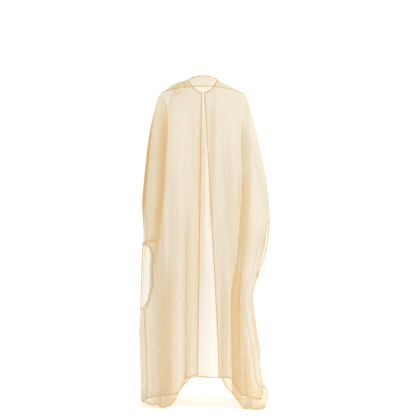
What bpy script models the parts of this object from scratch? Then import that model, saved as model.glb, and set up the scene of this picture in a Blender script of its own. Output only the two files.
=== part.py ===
"""A child's sheer, floor-length thobe, in the hollow form it has when worn.

Units are metres, +Z is up and the front of the garment faces -Y, so the wearer's right hand is at -X.
The origin is the middle of the neck opening, where the garment is held up.

The whole garment is one function: cloth(line, offset, level). Level runs down the cloth from the neck
ring (0) to the hem (HEM_LEVEL). Offset is the distance along the cloth's ring from one of the four
lines down the back, the right side, the front and the left side. Every panel, yoke, binding and hem
takes its points from it, so they all lie on one form.
"""

import math
from collections import namedtuple

import bmesh
import bpy
import numpy as np

CLOTH = 0.0012  # thickness of the wall
SEAM_GAP = 0.0003  # between pieces that are sewn together
HALF_SEAM = SEAM_GAP / 2
ROLL_RADIUS = 0.0019  # narrow rolled hem
ROLL_SIDES = 6
TWIST_ROOM = 0.0007  # extra gap to a rolled hem where the edge twists from one column to the next
FULL_TWIST = 0.25  # difference between neighbouring normals at which it has all of that room
WRIST_HEM_SHORT = 0.02  # the rolled edges of a wrist opening stop this far from its ends
NECK_RADIUS = 0.0029  # binding that takes in the doubled yoke
YOKE_SEAM = 0.0004  # difference in level that leaves SEAM_GAP between the yoke and the back panel
FLOOR_DOWN = 1.142  # from the neck opening to the floor
FLOOR_BEND = 0.014  # radius at which the cloth turns onto the floor

# Rings of the garment, from the neck to below the knees. Each side has how far it stands out from
# the middle and how far it is below the neck; "square" is the exponent of the ring's round corners.
Ring = namedtuple(
    "Ring",
    "level right_out right_down left_out left_down back_out back_down front_out front_down square",
)
RINGS = (
    Ring(0.00, 0.0520, 0.001, 0.0520, 0.001, 0.048, -0.008, 0.056, 0.040, 2.30),
    Ring(0.03, 0.0740, 0.0135, 0.0760, 0.006, 0.053, 0.001, 0.070, 0.062, 2.05),
    Ring(0.06, 0.1010, 0.0275, 0.1030, 0.0155, 0.059, 0.012, 0.081, 0.083, 2.10),
    Ring(0.09, 0.1290, 0.041, 0.1300, 0.034, 0.065, 0.022, 0.090, 0.104, 2.15),
    Ring(0.11, 0.1490, 0.055, 0.1510, 0.050, 0.070, 0.031, 0.096, 0.122, 2.20),
    Ring(0.14, 0.1610, 0.080, 0.1618, 0.0694, 0.078, 0.060, 0.101, 0.150, 2.25),
    Ring(0.18, 0.1730, 0.124, 0.1720, 0.108, 0.086, 0.105, 0.105, 0.185, 2.30),
    Ring(0.23, 0.1860, 0.173, 0.1860, 0.165, 0.092, 0.160, 0.109, 0.230, 2.35),
    Ring(0.30, 0.2020, 0.246, 0.1980, 0.250, 0.097, 0.240, 0.112, 0.295, 2.40),
    Ring(0.38, 0.2235, 0.345, 0.2080, 0.345, 0.100, 0.335, 0.114, 0.370, 2.40),
    Ring(0.46, 0.2340, 0.435, 0.2160, 0.435, 0.102, 0.430, 0.116, 0.450, 2.40),
    Ring(0.52, 0.2380, 0.500, 0.2130, 0.495, 0.104, 0.495, 0.117, 0.505, 2.40),
    Ring(0.58, 0.2336, 0.550, 0.2106, 0.560, 0.106, 0.555, 0.118, 0.560, 2.40),
    Ring(0.64, 0.2220, 0.612, 0.2150, 0.620, 0.108, 0.615, 0.119, 0.620, 2.40),
    Ring(0.72, 0.1960, 0.692, 0.2175, 0.700, 0.109, 0.695, 0.120, 0.695, 2.40),
    Ring(0.80, 0.1715, 0.779, 0.2190, 0.785, 0.110, 0.785, 0.122, 0.785, 2.40),
    Ring(0.91, 0.1850, 0.892, 0.2163, 0.892, 0.113, 0.892, 0.126, 0.892, 2.35),
    Ring(0.98, 0.1970, 0.965, 0.2140, 0.965, 0.115, 0.965, 0.129, 0.965, 2.30),
)
SKIRT_LEVEL = RINGS[-1].level
SKIRT_DOWN = RINGS[-1].right_down
HEM_LEVEL = 1.04

# Below the last ring the sides stand out by how far down the cloth has come.
Skirt = namedtuple("Skirt", "down right_out left_out back_out front_out")
SKIRT = (
    Skirt(0.965, 0.1970, 0.2140, 0.115, 0.129),
    Skirt(1.030, 0.2065, 0.2124, 0.117, 0.131),
    Skirt(1.070, 0.2120, 0.2110, 0.119, 0.132),
    Skirt(1.105, 0.2275, 0.2110, 0.120, 0.133),
    Skirt(1.142, 0.2190, 0.2110, 0.121, 0.134),
    Skirt(1.250, 0.2190, 0.2110, 0.121, 0.134),
)

# Length of cloth from the neck to the hem, by the angle round the garment: 0 is the middle of the
# back, 90 the right side, 180 the middle of the front and 270 the left side.
Edge = namedtuple("Edge", "angle down")
HEM_EDGE = (
    Edge(0, 1.032),
    Edge(15, 1.036),
    Edge(19, 1.066),
    Edge(26, 1.098),
    Edge(35, 1.140),
    Edge(44, 1.178),
    Edge(54, 1.192),
    Edge(66, 1.170),
    Edge(78, 1.152),
    Edge(92, 1.142),
    Edge(115, 1.142),
    Edge(141, 1.138),
    Edge(149, 1.110),
    Edge(156, 1.074),
    Edge(164, 1.070),
    Edge(172, 1.066),
    Edge(180, 1.062),
    Edge(188, 1.064),
    Edge(196, 1.096),
    Edge(203, 1.126),
    Edge(212, 1.132),
    Edge(250, 1.134),
    Edge(270, 1.136),
    Edge(290, 1.132),
    Edge(308, 1.136),
    Edge(326, 1.140),
    Edge(335, 1.118),
    Edge(341, 1.078),
    Edge(348, 1.036),
    Edge(360, 1.032),
)

# The corners that reach the floor run out on it, square to the cloth but turned this much to the back.
FLOOR_RUN_BACK = 1.0

# Seams between the body and the sleeves: they start on the shoulder and run down in the deepest
# folds. Their offsets from the middle of the back or front, and the depth of the fold, by level.
SHOULDER_LEVEL = 0.11
SEAM_LEVELS = (SHOULDER_LEVEL, 0.18, 0.40, 0.62, 0.80, HEM_LEVEL)
Seam = namedtuple("Seam", "chest elbow wrist knee hem upper_depth lower_depth")
SEAMS = {
    ("back", 1): Seam(0.158, 0.150, 0.134, 0.113, 0.113, -0.034, -0.030),
    ("back", -1): Seam(0.138, 0.148, 0.180, 0.172, 0.165, -0.034, -0.020),
    ("front", 1): Seam(0.160, 0.162, 0.158, 0.152, 0.150, -0.028, -0.024),
    ("front", -1): Seam(0.160, 0.162, 0.158, 0.154, 0.152, -0.028, -0.026),
}
SEAM_FOLD_WIDTH = 0.0105

# Folds. The line is one of the four down the garment; the offset along the ring from it goes from
# one value at the fold's top to another at its bottom, and is positive towards the back's right.
# A positive depth stands out and a negative one is a trough.
Fold = namedtuple("Fold", "line top_offset bottom_offset top bottom width depth")
FOLDS = (
    # back, from its left seam to its right one
    Fold("back", -0.122, -0.122, 0.64, 1.20, 0.0100, -0.018),
    Fold("back", -0.082, -0.086, 0.12, 1.20, 0.0240, 0.012),
    Fold("back", -0.104, -0.102, 0.74, 1.20, 0.0070, 0.010),
    Fold("back", -0.058, -0.058, 0.45, 1.20, 0.0075, -0.011),
    Fold("back", -0.038, -0.036, 0.40, 1.20, 0.0120, 0.006),
    Fold("back", -0.006, -0.018, 0.08, 1.20, 0.0150, -0.010),
    Fold("back", 0.030, 0.016, 0.08, 0.60, 0.0110, -0.007),
    Fold("back", 0.040, 0.030, 0.55, 1.20, 0.0200, 0.009),
    Fold("back", 0.068, 0.064, 0.62, 1.20, 0.0070, -0.010),
    Fold("back", 0.086, 0.084, 0.72, 1.20, 0.0065, 0.009),
    Fold("back", 0.120, 0.134, 0.34, 0.56, 0.0080, -0.012),
    Fold("back", 0.148, 0.160, 0.66, 1.20, 0.0160, 0.020),
    # left shoulder, pushed up
    Fold("back", -0.086, -0.060, 0.01, 0.15, 0.0065, 0.0032),
    Fold("back", -0.108, -0.082, 0.03, 0.17, 0.0065, 0.0032),
    # right sleeve
    Fold("right", -0.036, -0.034, 0.20, 1.20, 0.0110, -0.012),
    Fold("right", 0.024, 0.026, 0.30, 1.20, 0.0100, -0.015),
    Fold("right", 0.060, 0.050, 0.16, 1.20, 0.0110, -0.022),
    Fold("right", -0.012, -0.016, 0.70, 1.20, 0.0100, 0.012),
    # left sleeve
    Fold("left", 0.030, 0.036, 0.22, 1.20, 0.0100, -0.010),
    Fold("left", -0.026, -0.030, 0.26, 1.20, 0.0110, -0.014),
    Fold("left", -0.062, -0.066, 0.16, 1.20, 0.0110, -0.020),
    Fold("left", 0.006, 0.006, 0.80, 1.20, 0.0090, 0.010),
    # fronts, from the right one's seam to the left one's
    Fold("front", -0.112, -0.122, 0.30, 1.20, 0.0110, -0.017),
    Fold("front", -0.082, -0.090, 0.14, 1.20, 0.0160, 0.012),
    Fold("front", -0.056, -0.064, 0.42, 1.20, 0.0080, -0.013),
    Fold("front", 0.050, 0.058, 0.34, 1.20, 0.0090, -0.012),
    Fold("front", 0.078, 0.084, 0.16, 1.20, 0.0150, 0.011),
    Fold("front", 0.108, 0.112, 0.26, 1.20, 0.0100, -0.018),
    Fold("front", 0.134, 0.140, 0.60, 1.20, 0.0080, 0.010),
)

# Wrist openings in the outer edge of each sleeve. One edge of the opening is drawn in by "draw" and
# the other stays on the outline; "reach" is how far along the ring the cloth is taken with it.
Wrist = namedtuple("Wrist", "line top bottom drawn_side draw_x draw_y reach")
WRISTS = {
    "right": Wrist("right", 0.520, 0.735, 1, 0.016, -0.030, 0.082),
    "left": Wrist("left", 0.600, 0.830, 1, -0.043, 0.008, 0.082),
}
# How much of the draw there is, by how far down the opening.
OPENED_AT = (0.00, 0.05, 0.12, 0.40, 0.72, 0.88, 1.00)
OPENED = (0.00, 0.55, 0.78, 0.88, 1.00, 0.62, 0.00)
DRAWN_SHARE = 0.7  # power with which the draw fades along the ring

# Front opening: how far each front's edge is from the middle of the front, at the neck and at the hem.
FrontEdge = namedtuple("FrontEdge", "neck hem")
FRONT_EDGES = {"right": FrontEdge(0.006, 0.060), "left": FrontEdge(0.006, 0.021)}

# Rows of the grids, as levels, and columns across each panel.
TOP_LEVELS = (0.0, 0.022, 0.045, 0.068, 0.09, 0.11, 0.122, 0.145, 0.18)
LOWER_LEVELS = (
    0.23, 0.285, 0.34, 0.395, 0.45, 0.49, 0.52, 0.56, 0.60, 0.612, 0.645, 0.69,
    0.735, 0.785, 0.83, 0.88, 0.93, 0.965, 0.985, 1.0, 1.012, 1.021, 1.03, 1.04,
)
LEVELS = TOP_LEVELS + LOWER_LEVELS
YOKE_ROWS = TOP_LEVELS.index(SHOULDER_LEVEL)
YOKE_LEVELS = LEVELS[: YOKE_ROWS + 1]
BACK_LEVELS = (SHOULDER_LEVEL + YOKE_SEAM, *LEVELS[YOKE_ROWS + 1 :])
SLEEVE_LEVELS = LEVELS[YOKE_ROWS + 1 :]
BACK_COLUMNS = 34
FRONT_COLUMNS = 14
HALF_SLEEVE_COLUMNS = 9

LINE_ANGLES = {"back": 0.0, "right": 90.0, "front": 180.0, "left": 270.0}
RING_ANGLES = np.linspace(-180.0, 540.0, 1441)
STEP = 0.0008  # step along the cloth for its normals


def smooth_curve(places, values, at):
    """A curve through the values that never overshoots them."""
    places = np.asarray(places, float)
    values = np.asarray(values, float)
    at = np.clip(np.asarray(at, float), places[0], places[-1])
    slopes = np.diff(values) / np.diff(places)
    product = slopes[:-1] * slopes[1:]
    total = slopes[:-1] + slopes[1:]
    inner = np.where(product > 0, 2 * product / np.where(total == 0, 1, total), 0.0)
    tangents = np.concatenate([[slopes[0]], inner, [slopes[-1]]])
    index = np.clip(np.searchsorted(places, at) - 1, 0, len(places) - 2)
    width = places[index + 1] - places[index]
    t = (at - places[index]) / width
    rise = t * t * (3 - 2 * t)
    return (
        values[index] * (1 - rise)
        + values[index + 1] * rise
        + width * tangents[index] * t * (1 - t) ** 2
        + width * tangents[index + 1] * t * t * (t - 1)
    )


def ease(x):
    """0 below 0, 1 above 1 and smooth between."""
    x = np.clip(x, 0.0, 1.0)
    return x * x * (3 - 2 * x)


def ring_value(name, level):
    return smooth_curve([r.level for r in RINGS], [getattr(r, name) for r in RINGS], level)


def skirt_value(name, down):
    return smooth_curve([s.down for s in SKIRT], [getattr(s, name) for s in SKIRT], down)


def hem_down(angle):
    return smooth_curve([e.angle for e in HEM_EDGE], [e.down for e in HEM_EDGE], np.mod(angle, 360.0))


def round_corner(value, square):
    return np.sign(value) * np.abs(value) ** (2.0 / square)


def base_form(angle, level):
    """The garment without folds: points at these angles and levels, and the cloth run out so far."""
    turn = np.radians(angle)
    across = np.sin(turn)
    along = np.cos(turn)
    side = across**2
    right = across > 0
    back = along > 0
    side_down = np.where(right, ring_value("right_down", level), ring_value("left_down", level))
    face_down = np.where(back, ring_value("back_down", level), ring_value("front_down", level))
    down = side_down * side + face_down * (1 - side)
    below = np.clip((level - SKIRT_LEVEL) / (HEM_LEVEL - SKIRT_LEVEL), 0.0, None)
    down = down + below * (hem_down(angle) - SKIRT_DOWN)
    in_skirt = level > SKIRT_LEVEL
    out = {}
    for name in ("right_out", "left_out", "back_out", "front_out"):
        out[name] = np.where(in_skirt, skirt_value(name, down), ring_value(name, level))
    square = ring_value("square", level)
    width = np.where(right, out["right_out"], out["left_out"])
    depth = np.where(back, out["back_out"], out["front_out"])
    x = -width * round_corner(across, square)
    y = depth * round_corner(along, square)
    return x, y, down


class RingLine:
    """One ring of the garment: turns a distance along it into an angle, and back."""

    kept = {}

    def __init__(self, level):
        x, y, down = base_form(RING_ANGLES, np.full(RING_ANGLES.shape, level))
        steps = np.hypot(np.diff(x), np.diff(y))
        self.run = np.concatenate([[0.0], np.cumsum(steps)])

    @classmethod
    def at(cls, level):
        key = round(float(level), 6)
        if key not in cls.kept:
            cls.kept[key] = cls(key)
        return cls.kept[key]

    def distance(self, angle):
        return np.interp(angle, RING_ANGLES, self.run)

    def angle(self, line, offset):
        return np.interp(self.distance(LINE_ANGLES[line]) + offset, self.run, RING_ANGLES)

    def quarter(self, line, hand=1):
        """Distance from this line to the next one round, or to the one before it."""
        start = LINE_ANGLES[line]
        return abs(self.distance(start + 90.0 * hand) - self.distance(start))


def signed_distance(ring, angle, line):
    """Distance along the ring from a line, the shorter way round."""
    whole = ring.distance(360.0) - ring.distance(0.0)
    apart = ring.distance(angle) - ring.distance(LINE_ANGLES[line])
    return (apart + whole / 2) % whole - whole / 2


def seam_offset(line, hand, level):
    """Distance from the middle of the back or front to its armhole seam, or to the shoulder seam."""
    if level <= SHOULDER_LEVEL:
        return RingLine.at(level).quarter(line, hand)
    shoulder = RingLine.at(SHOULDER_LEVEL).quarter(line, hand)
    return float(smooth_curve(SEAM_LEVELS, (shoulder, *SEAMS[line, hand][:5]), level))


def fold_depth(ring, angle, level):
    """How far the folds move the cloth out at these angles of a ring."""
    moved = np.zeros(np.shape(angle))
    for fold in FOLDS:
        if not fold.top < level < fold.bottom:
            continue
        way = (level - fold.top) / (min(fold.bottom, HEM_LEVEL) - fold.top)
        middle = fold.top_offset + (fold.bottom_offset - fold.top_offset) * way
        grown = ease((level - fold.top) / 0.16)
        if fold.bottom < HEM_LEVEL:
            grown = grown * ease((fold.bottom - level) / 0.16)
        away = (signed_distance(ring, angle, fold.line) - middle) / fold.width
        moved = moved + fold.depth * grown * np.exp(-(away**2))
    for (line, hand), seam in SEAMS.items():
        if level > SHOULDER_LEVEL:
            away = signed_distance(ring, angle, line) - hand * seam_offset(line, hand, level)
            lower = ease((level - 0.55) / 0.20)
            depth = seam.upper_depth + (seam.lower_depth - seam.upper_depth) * lower
            grown = ease((level - SHOULDER_LEVEL) / 0.18)
            moved = moved + depth * grown * np.exp(-((away / SEAM_FOLD_WIDTH) ** 2))
    return moved


def draw_in(ring, angle, level, side):
    """How far a wrist opening draws the cloth beside it; side is -1 before the line and 1 after it."""
    shift_x = np.zeros(np.shape(angle))
    shift_y = np.zeros(np.shape(angle))
    for wrist in WRISTS.values():
        if side != wrist.drawn_side:
            continue
        way = (level - wrist.top) / (wrist.bottom - wrist.top)
        if not 0.0 < way < 1.0:
            continue
        opened = float(smooth_curve(OPENED_AT, OPENED, way))
        beside = signed_distance(ring, angle, wrist.line)
        share = np.clip(1 - np.abs(beside) / wrist.reach, 0.0, 1.0) ** DRAWN_SHARE
        held = opened * share * (beside * side >= -1e-6)
        shift_x = shift_x + wrist.draw_x * held
        shift_y = shift_y + wrist.draw_y * held
    return shift_x, shift_y


def cloth(line, offset, level, side=0):
    """Points of the finished form on one ring, at these offsets from a line."""
    ring = RingLine.at(level)
    angle = ring.angle(line, np.asarray(offset, float))
    levels = np.full(angle.shape, level)
    x, y, down = base_form(angle, levels)
    turn = 0.05
    ahead_x, ahead_y, _ = base_form(angle + turn, levels)
    behind_x, behind_y, _ = base_form(angle - turn, levels)
    along_x = ahead_x - behind_x
    along_y = ahead_y - behind_y
    length = np.hypot(along_x, along_y)
    out_x = -along_y / length
    out_y = along_x / length
    out_sign = np.sign(out_x * x + out_y * y)
    moved = fold_depth(ring, angle, level)
    spare = down - (FLOOR_DOWN - FLOOR_BEND)
    on_floor = ease(spare / FLOOR_BEND)
    out_x = out_x * out_sign
    out_y = out_y * out_sign
    x = x + out_x * moved * (1 - on_floor)
    y = y + out_y * moved * (1 - on_floor)
    shift_x, shift_y = draw_in(ring, angle, level, side)
    bend = np.clip(spare / FLOOR_BEND, 0.0, math.pi / 2)
    run = FLOOR_BEND * (1 - np.cos(bend)) + np.clip(spare - FLOOR_BEND * math.pi / 2, 0.0, None)
    z = -np.where(spare > 0, FLOOR_DOWN - FLOOR_BEND + FLOOR_BEND * np.sin(bend), down)
    z = z + 0.35 * np.abs(moved) * on_floor
    run_length = np.hypot(out_x, out_y + FLOOR_RUN_BACK)
    x = x + shift_x + out_x / run_length * run
    y = y + shift_y + (out_y + FLOOR_RUN_BACK) / run_length * run
    return np.stack([x, y, z], axis=-1)


def cloth_and_normals(line, offset, level, side=0):
    """The same points, with the directions that point out of the cloth."""
    offset = np.asarray(offset, float)
    points = cloth(line, offset, level, side)
    around = cloth(line, offset + STEP, level, side) - cloth(line, offset - STEP, level, side)
    lower = min(level + STEP, HEM_LEVEL)
    upper = max(level - STEP, 0.0)
    share_lower = offset_at_level(line, offset, level, lower)
    share_upper = offset_at_level(line, offset, level, upper)
    downward = cloth(line, share_lower, lower, side) - cloth(line, share_upper, upper, side)
    normals = np.cross(downward, around)
    normals /= np.linalg.norm(normals, axis=-1, keepdims=True)
    return points, normals


def offset_at_level(line, offset, level, other):
    """The same place round the garment, on the ring of another level."""
    return offset * RingLine.at(other).quarter(line) / RingLine.at(level).quarter(line)


def folded_columns(line, start, stop, count, side=0):
    """Places across a panel, evenly spaced along the folded cloth rather than the ring."""
    shares = np.linspace(0.0, 1.0, 600)
    run = np.zeros(len(shares))
    for level in (0.5, 0.7, 0.9, HEM_LEVEL):
        first = start(level)
        last = stop(level)
        points = cloth(line, first + (last - first) * shares, level, side)
        steps = np.linalg.norm(np.diff(points, axis=0), axis=1)
        run[1:] += np.cumsum(steps)
    even = 0.35 * shares + 0.65 * run / run[-1]
    return np.interp(np.linspace(0.0, 1.0, count + 1), even, shares)


def sleeve_edge(line, hand, level):
    """Offset from a side line to the sleeve's seam before the line (-1) or after it (1)."""
    face, face_hand = {
        ("right", -1): ("back", 1),
        ("right", 1): ("front", -1),
        ("left", -1): ("front", 1),
        ("left", 1): ("back", -1),
    }[line, hand]
    width = RingLine.at(level).quarter(line, hand) - seam_offset(face, face_hand, level)
    return hand * (width - HALF_SEAM)


def front_edge(side, level):
    """Distance from the middle of the front to the edge of this front."""
    edge = FRONT_EDGES[side]
    return edge.neck + (edge.hem - edge.neck) * level / HEM_LEVEL


Panel = namedtuple("Panel", "line start stop columns levels side")
PANELS = {
    name: Panel(
        "back",
        lambda level: HALF_SEAM - seam_offset("back", -1, level),
        lambda level: seam_offset("back", 1, level) - HALF_SEAM,
        BACK_COLUMNS,
        levels,
        0,
    )
    for name, levels in (("back_yoke", YOKE_LEVELS), ("back_panel", BACK_LEVELS))
}
PANELS |= {
    "right_front_panel": Panel(
        "front",
        lambda level: HALF_SEAM - seam_offset("front", -1, level),
        lambda level: -front_edge("right", level),
        FRONT_COLUMNS,
        LEVELS,
        0,
    ),
    "left_front_panel": Panel(
        "front",
        lambda level: front_edge("left", level),
        lambda level: seam_offset("front", 1, level) - HALF_SEAM,
        FRONT_COLUMNS,
        LEVELS,
        0,
    ),
}
SLEEVE_HALVES = {
    ("right", -1): "right_sleeve_back",
    ("right", 1): "right_sleeve_front",
    ("left", -1): "left_sleeve_front",
    ("left", 1): "left_sleeve_back",
}
for (side_line, side_hand), half_name in SLEEVE_HALVES.items():
    edges = [
        lambda level, line=side_line, hand=side_hand: sleeve_edge(line, hand, level),
        lambda level, hand=side_hand: hand * HALF_SEAM,
    ]
    PANELS[half_name] = Panel(
        side_line, *edges[::-side_hand], HALF_SLEEVE_COLUMNS, SLEEVE_LEVELS, side_hand
    )


def panel_points(name):
    """Points and normals of a panel, a row for each level and a column for each thread down it."""
    panel = PANELS[name]
    shares = folded_columns(panel.line, panel.start, panel.stop, panel.columns, panel.side)
    points = []
    normals = []
    for level in panel.levels:
        start = panel.start(level)
        offsets = start + (panel.stop(level) - start) * shares
        row, out = cloth_and_normals(panel.line, offsets, level, panel.side)
        points.append(row)
        normals.append(out)
    return np.array(points), np.array(normals)


def clear_scene():
    for item in list(bpy.data.objects):
        bpy.data.objects.remove(item, do_unlink=True)


def material(name, colour, roughness):
    made = bpy.data.materials.new(name)
    made.use_nodes = True
    shader = made.node_tree.nodes["Principled BSDF"]
    shader.inputs["Base Color"].default_value = (*colour, 1.0)
    shader.inputs["Roughness"].default_value = roughness
    shader.inputs["Metallic"].default_value = 0.0
    return made


def mesh_object(name, bm, finish, collection):
    mesh = bpy.data.meshes.new(name)
    bm.to_mesh(mesh)
    bm.free()
    mesh.shade_smooth()
    mesh.set_sharp_from_angle(angle=math.radians(60))
    made = bpy.data.objects.new(name, mesh)
    made.data.materials.append(finish)
    collection.objects.link(made)
    return made


def add_grid(bm, wall_out, points, normals):
    """A grid of faces laid on these rows and columns of points."""
    rows, columns = points.shape[:2]
    made = bmesh.ops.create_grid(bm, x_segments=columns - 1, y_segments=rows - 1, size=0.5)
    for vert in made["verts"]:
        column = round((vert.co.x + 0.5) * (columns - 1))
        row = round((vert.co.y + 0.5) * (rows - 1))
        vert.co = points[row, column]
        vert[wall_out] = normals[row, column]


def thicken(bm, wall_out):
    """Makes the sheet a closed wall, half its thickness to each side."""
    moved = bmesh.ops.extrude_face_region(bm, geom=bm.faces[:], use_keep_orig=True)
    inner = {item for item in moved["geom"] if isinstance(item, bmesh.types.BMVert)}
    for vert in bm.verts:
        half = -CLOTH / 2 if vert in inner else CLOTH / 2
        vert.co += vert[wall_out] * half
    bmesh.ops.recalc_face_normals(bm, faces=bm.faces[:])


def wall_object(name, points, normals, finish, collection):
    """A cloth wall along these rows and columns of points."""
    bm = bmesh.new()
    wall_out = bm.verts.layers.float_vector.new("wall_out")
    add_grid(bm, wall_out, points, normals)
    thicken(bm, wall_out)
    return mesh_object(name, bm, finish, collection)


def roll_object(name, edge, inside, normals, radius, finish, collection):
    """A narrow rolled hem past an edge of the cloth; inside is the row of points next to the edge."""
    steps = np.diff(edge, axis=0)
    threads = edge - inside
    squares = np.cross(steps, (normals[1:] + normals[:-1]) / 2)
    squares *= np.sign(np.sum(squares * (threads[1:] + threads[:-1]), axis=-1, keepdims=True))
    squares /= np.linalg.norm(squares, axis=-1, keepdims=True)
    after = np.concatenate([squares, squares[-1:]])
    away = np.concatenate([threads[:1], squares[1:] + squares[:-1], threads[-1:]])
    away -= normals * np.sum(away * normals, axis=-1, keepdims=True)
    away /= np.linalg.norm(away, axis=-1, keepdims=True)
    twist = 1 - np.sum(normals[1:] * normals[:-1], axis=-1, keepdims=True)
    twist = np.maximum(np.concatenate([twist[:1], twist]), np.concatenate([twist, twist[-1:]]))
    room = SEAM_GAP + TWIST_ROOM * np.clip(twist / FULL_TWIST, 0.0, 1.0)
    flat = radius * math.cos(math.pi / ROLL_SIDES)
    reach = (flat + room) / np.clip(np.sum(away * after, axis=-1, keepdims=True), 0.5, 1.0)
    middle = edge + away * reach
    for end, next_in in ((0, 1), (-1, -2)):
        inwards = middle[next_in] - middle[end]
        middle[end] += inwards / np.linalg.norm(inwards) * SEAM_GAP
    bm = bmesh.new()
    columns = len(edge)
    made = bmesh.ops.create_grid(bm, x_segments=columns - 1, y_segments=ROLL_SIDES, size=0.5)
    for vert in made["verts"]:
        column = round((vert.co.x + 0.5) * (columns - 1))
        turn = math.tau * (round((vert.co.y + 0.5) * ROLL_SIDES) + 0.5) / ROLL_SIDES
        spoke = away[column] * math.cos(turn) + normals[column] * math.sin(turn)
        vert.co = middle[column] + spoke * radius
    bmesh.ops.remove_doubles(bm, verts=bm.verts[:], dist=0.00002)
    ends = [edge for edge in bm.edges if edge.is_boundary]
    bmesh.ops.holes_fill(bm, edges=ends, sides=ROLL_SIDES)
    bmesh.ops.recalc_face_normals(bm, faces=bm.faces[:])
    return mesh_object(name, bm, finish, collection)


def build():
    clear_scene()
    parts = bpy.data.collections.new("thobe")
    bpy.context.scene.collection.children.link(parts)
    sheer = material("sheer_cloth", (0.78, 0.66, 0.46), 0.62)
    doubled = material("doubled_cloth", (0.74, 0.60, 0.38), 0.60)
    rolled = material("rolled_edge", (0.70, 0.54, 0.31), 0.58)

    surfaces = {name: panel_points(name) for name in PANELS}
    for name, (points, normals) in surfaces.items():
        wall_object(name, points, normals, doubled if name == "back_yoke" else sheer, parts)
    add_hems(surfaces, rolled, parts)
    add_neck(surfaces, rolled, parts)
    add_wrists(surfaces, rolled, parts)


def add_hems(surfaces, finish, collection):
    """Rolled hems below each panel that reaches the hem, and down the two front edges."""
    for panel, (points, normals) in surfaces.items():
        if panel == "back_yoke":
            continue
        name = panel.replace("_panel", "") + "_hem"
        roll_object(name, points[-1], points[-2], normals[-1], ROLL_RADIUS, finish, collection)
    for side, edge, inside in (("right", -1, -2), ("left", 0, 1)):
        points, normals = surfaces[side + "_front_panel"]
        name = side + "_front_edge"
        roll_object(name, points[:, edge], points[:, inside], normals[:, edge], ROLL_RADIUS, finish, collection)


def add_neck(surfaces, finish, collection):
    """One binding round the neck, from front edge to front edge."""
    edges = []
    insides = []
    outs = []
    for name in ("left_front_panel", "back_yoke", "right_front_panel"):
        points, normals = surfaces[name]
        kept = slice(1, -1) if name == "back_yoke" else slice(None)
        edges.append(points[0][kept])
        insides.append(points[1][kept])
        outs.append(normals[0][kept])
    edge, inside, out = (np.concatenate(rows) for rows in (edges, insides, outs))
    roll_object("neck_binding", edge, inside, out, NECK_RADIUS, finish, collection)


def add_wrists(surfaces, finish, collection):
    """Rolled edges along the two sides of each wrist opening."""
    levels = np.array(SLEEVE_LEVELS)
    for (side, hand), panel in SLEEVE_HALVES.items():
        wrist = WRISTS[side]
        open_rows = (levels > wrist.top + WRIST_HEM_SHORT) & (levels < wrist.bottom - WRIST_HEM_SHORT)
        points, normals = (values[open_rows] for values in surfaces[panel])
        edge, inside = {-1: (-1, -2), 1: (0, 1)}[hand]
        name = panel.replace("_sleeve_", "_wrist_hem_")
        roll_object(
            name, points[:, edge], points[:, inside], normals[:, edge], ROLL_RADIUS, finish, collection
        )


build()
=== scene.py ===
# %% [markdown]
# # A sheer, floor-length thobe
#
# The garment is a very wide, open-fronted robe of golden beige chiffon. It hangs from its neck and
# shoulders, its sleeves reach the floor, and each sleeve has a long opening in its outer edge.
#
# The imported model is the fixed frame: it says where every piece is. Here each of its plain walls is
# replaced by thin cloth on the same form, with finer folds, seams, rolled hems and stitches.
#
# Units are metres, +Z is up, the front faces -Y and the garment's own right side is at -X.

# %% Load the frame
import math
from collections import namedtuple

import bmesh
import bpy
import numpy as np
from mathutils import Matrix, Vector


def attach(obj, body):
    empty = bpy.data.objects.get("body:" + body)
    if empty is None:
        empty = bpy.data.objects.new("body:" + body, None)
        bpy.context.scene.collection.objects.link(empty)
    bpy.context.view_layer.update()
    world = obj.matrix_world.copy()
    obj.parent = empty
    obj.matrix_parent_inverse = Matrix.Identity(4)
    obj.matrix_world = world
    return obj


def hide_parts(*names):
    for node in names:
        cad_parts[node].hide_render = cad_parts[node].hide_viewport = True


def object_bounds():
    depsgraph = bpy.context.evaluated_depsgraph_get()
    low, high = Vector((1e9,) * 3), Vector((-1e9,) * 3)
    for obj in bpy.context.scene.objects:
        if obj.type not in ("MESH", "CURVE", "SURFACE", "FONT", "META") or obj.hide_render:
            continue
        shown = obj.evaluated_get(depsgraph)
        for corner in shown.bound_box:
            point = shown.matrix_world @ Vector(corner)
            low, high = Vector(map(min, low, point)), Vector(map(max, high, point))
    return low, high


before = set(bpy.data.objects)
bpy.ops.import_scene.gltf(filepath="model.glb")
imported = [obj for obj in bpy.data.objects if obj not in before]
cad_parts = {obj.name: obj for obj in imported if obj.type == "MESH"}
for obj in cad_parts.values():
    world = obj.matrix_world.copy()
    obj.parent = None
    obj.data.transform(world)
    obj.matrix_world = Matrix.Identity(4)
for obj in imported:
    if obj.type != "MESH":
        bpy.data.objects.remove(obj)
cad_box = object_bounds()
print("the frame's box:", [[round(value, 3) for value in corner] for corner in cad_box])

# %% [markdown]
# ## The camera
#
# The photograph was taken level, from behind, at about half the height of the garment, and from
# far enough away that near and far hems almost line up. A longer lens further back would flatten
# the hem's ends more, and a wider one nearer would spread them: four metres fits both hems.

# %% Place the camera
PIXEL = 0.00354  # metres of the garment's middle plane for each pixel of the photograph
FRAME_PIXELS = 416
CAMERA_AWAY = 4.0
EYE_LEVEL = -0.453  # level with the middle of the photograph
EYE_ACROSS = -0.0177
SENSOR_WIDTH_MM = 36.0

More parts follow.
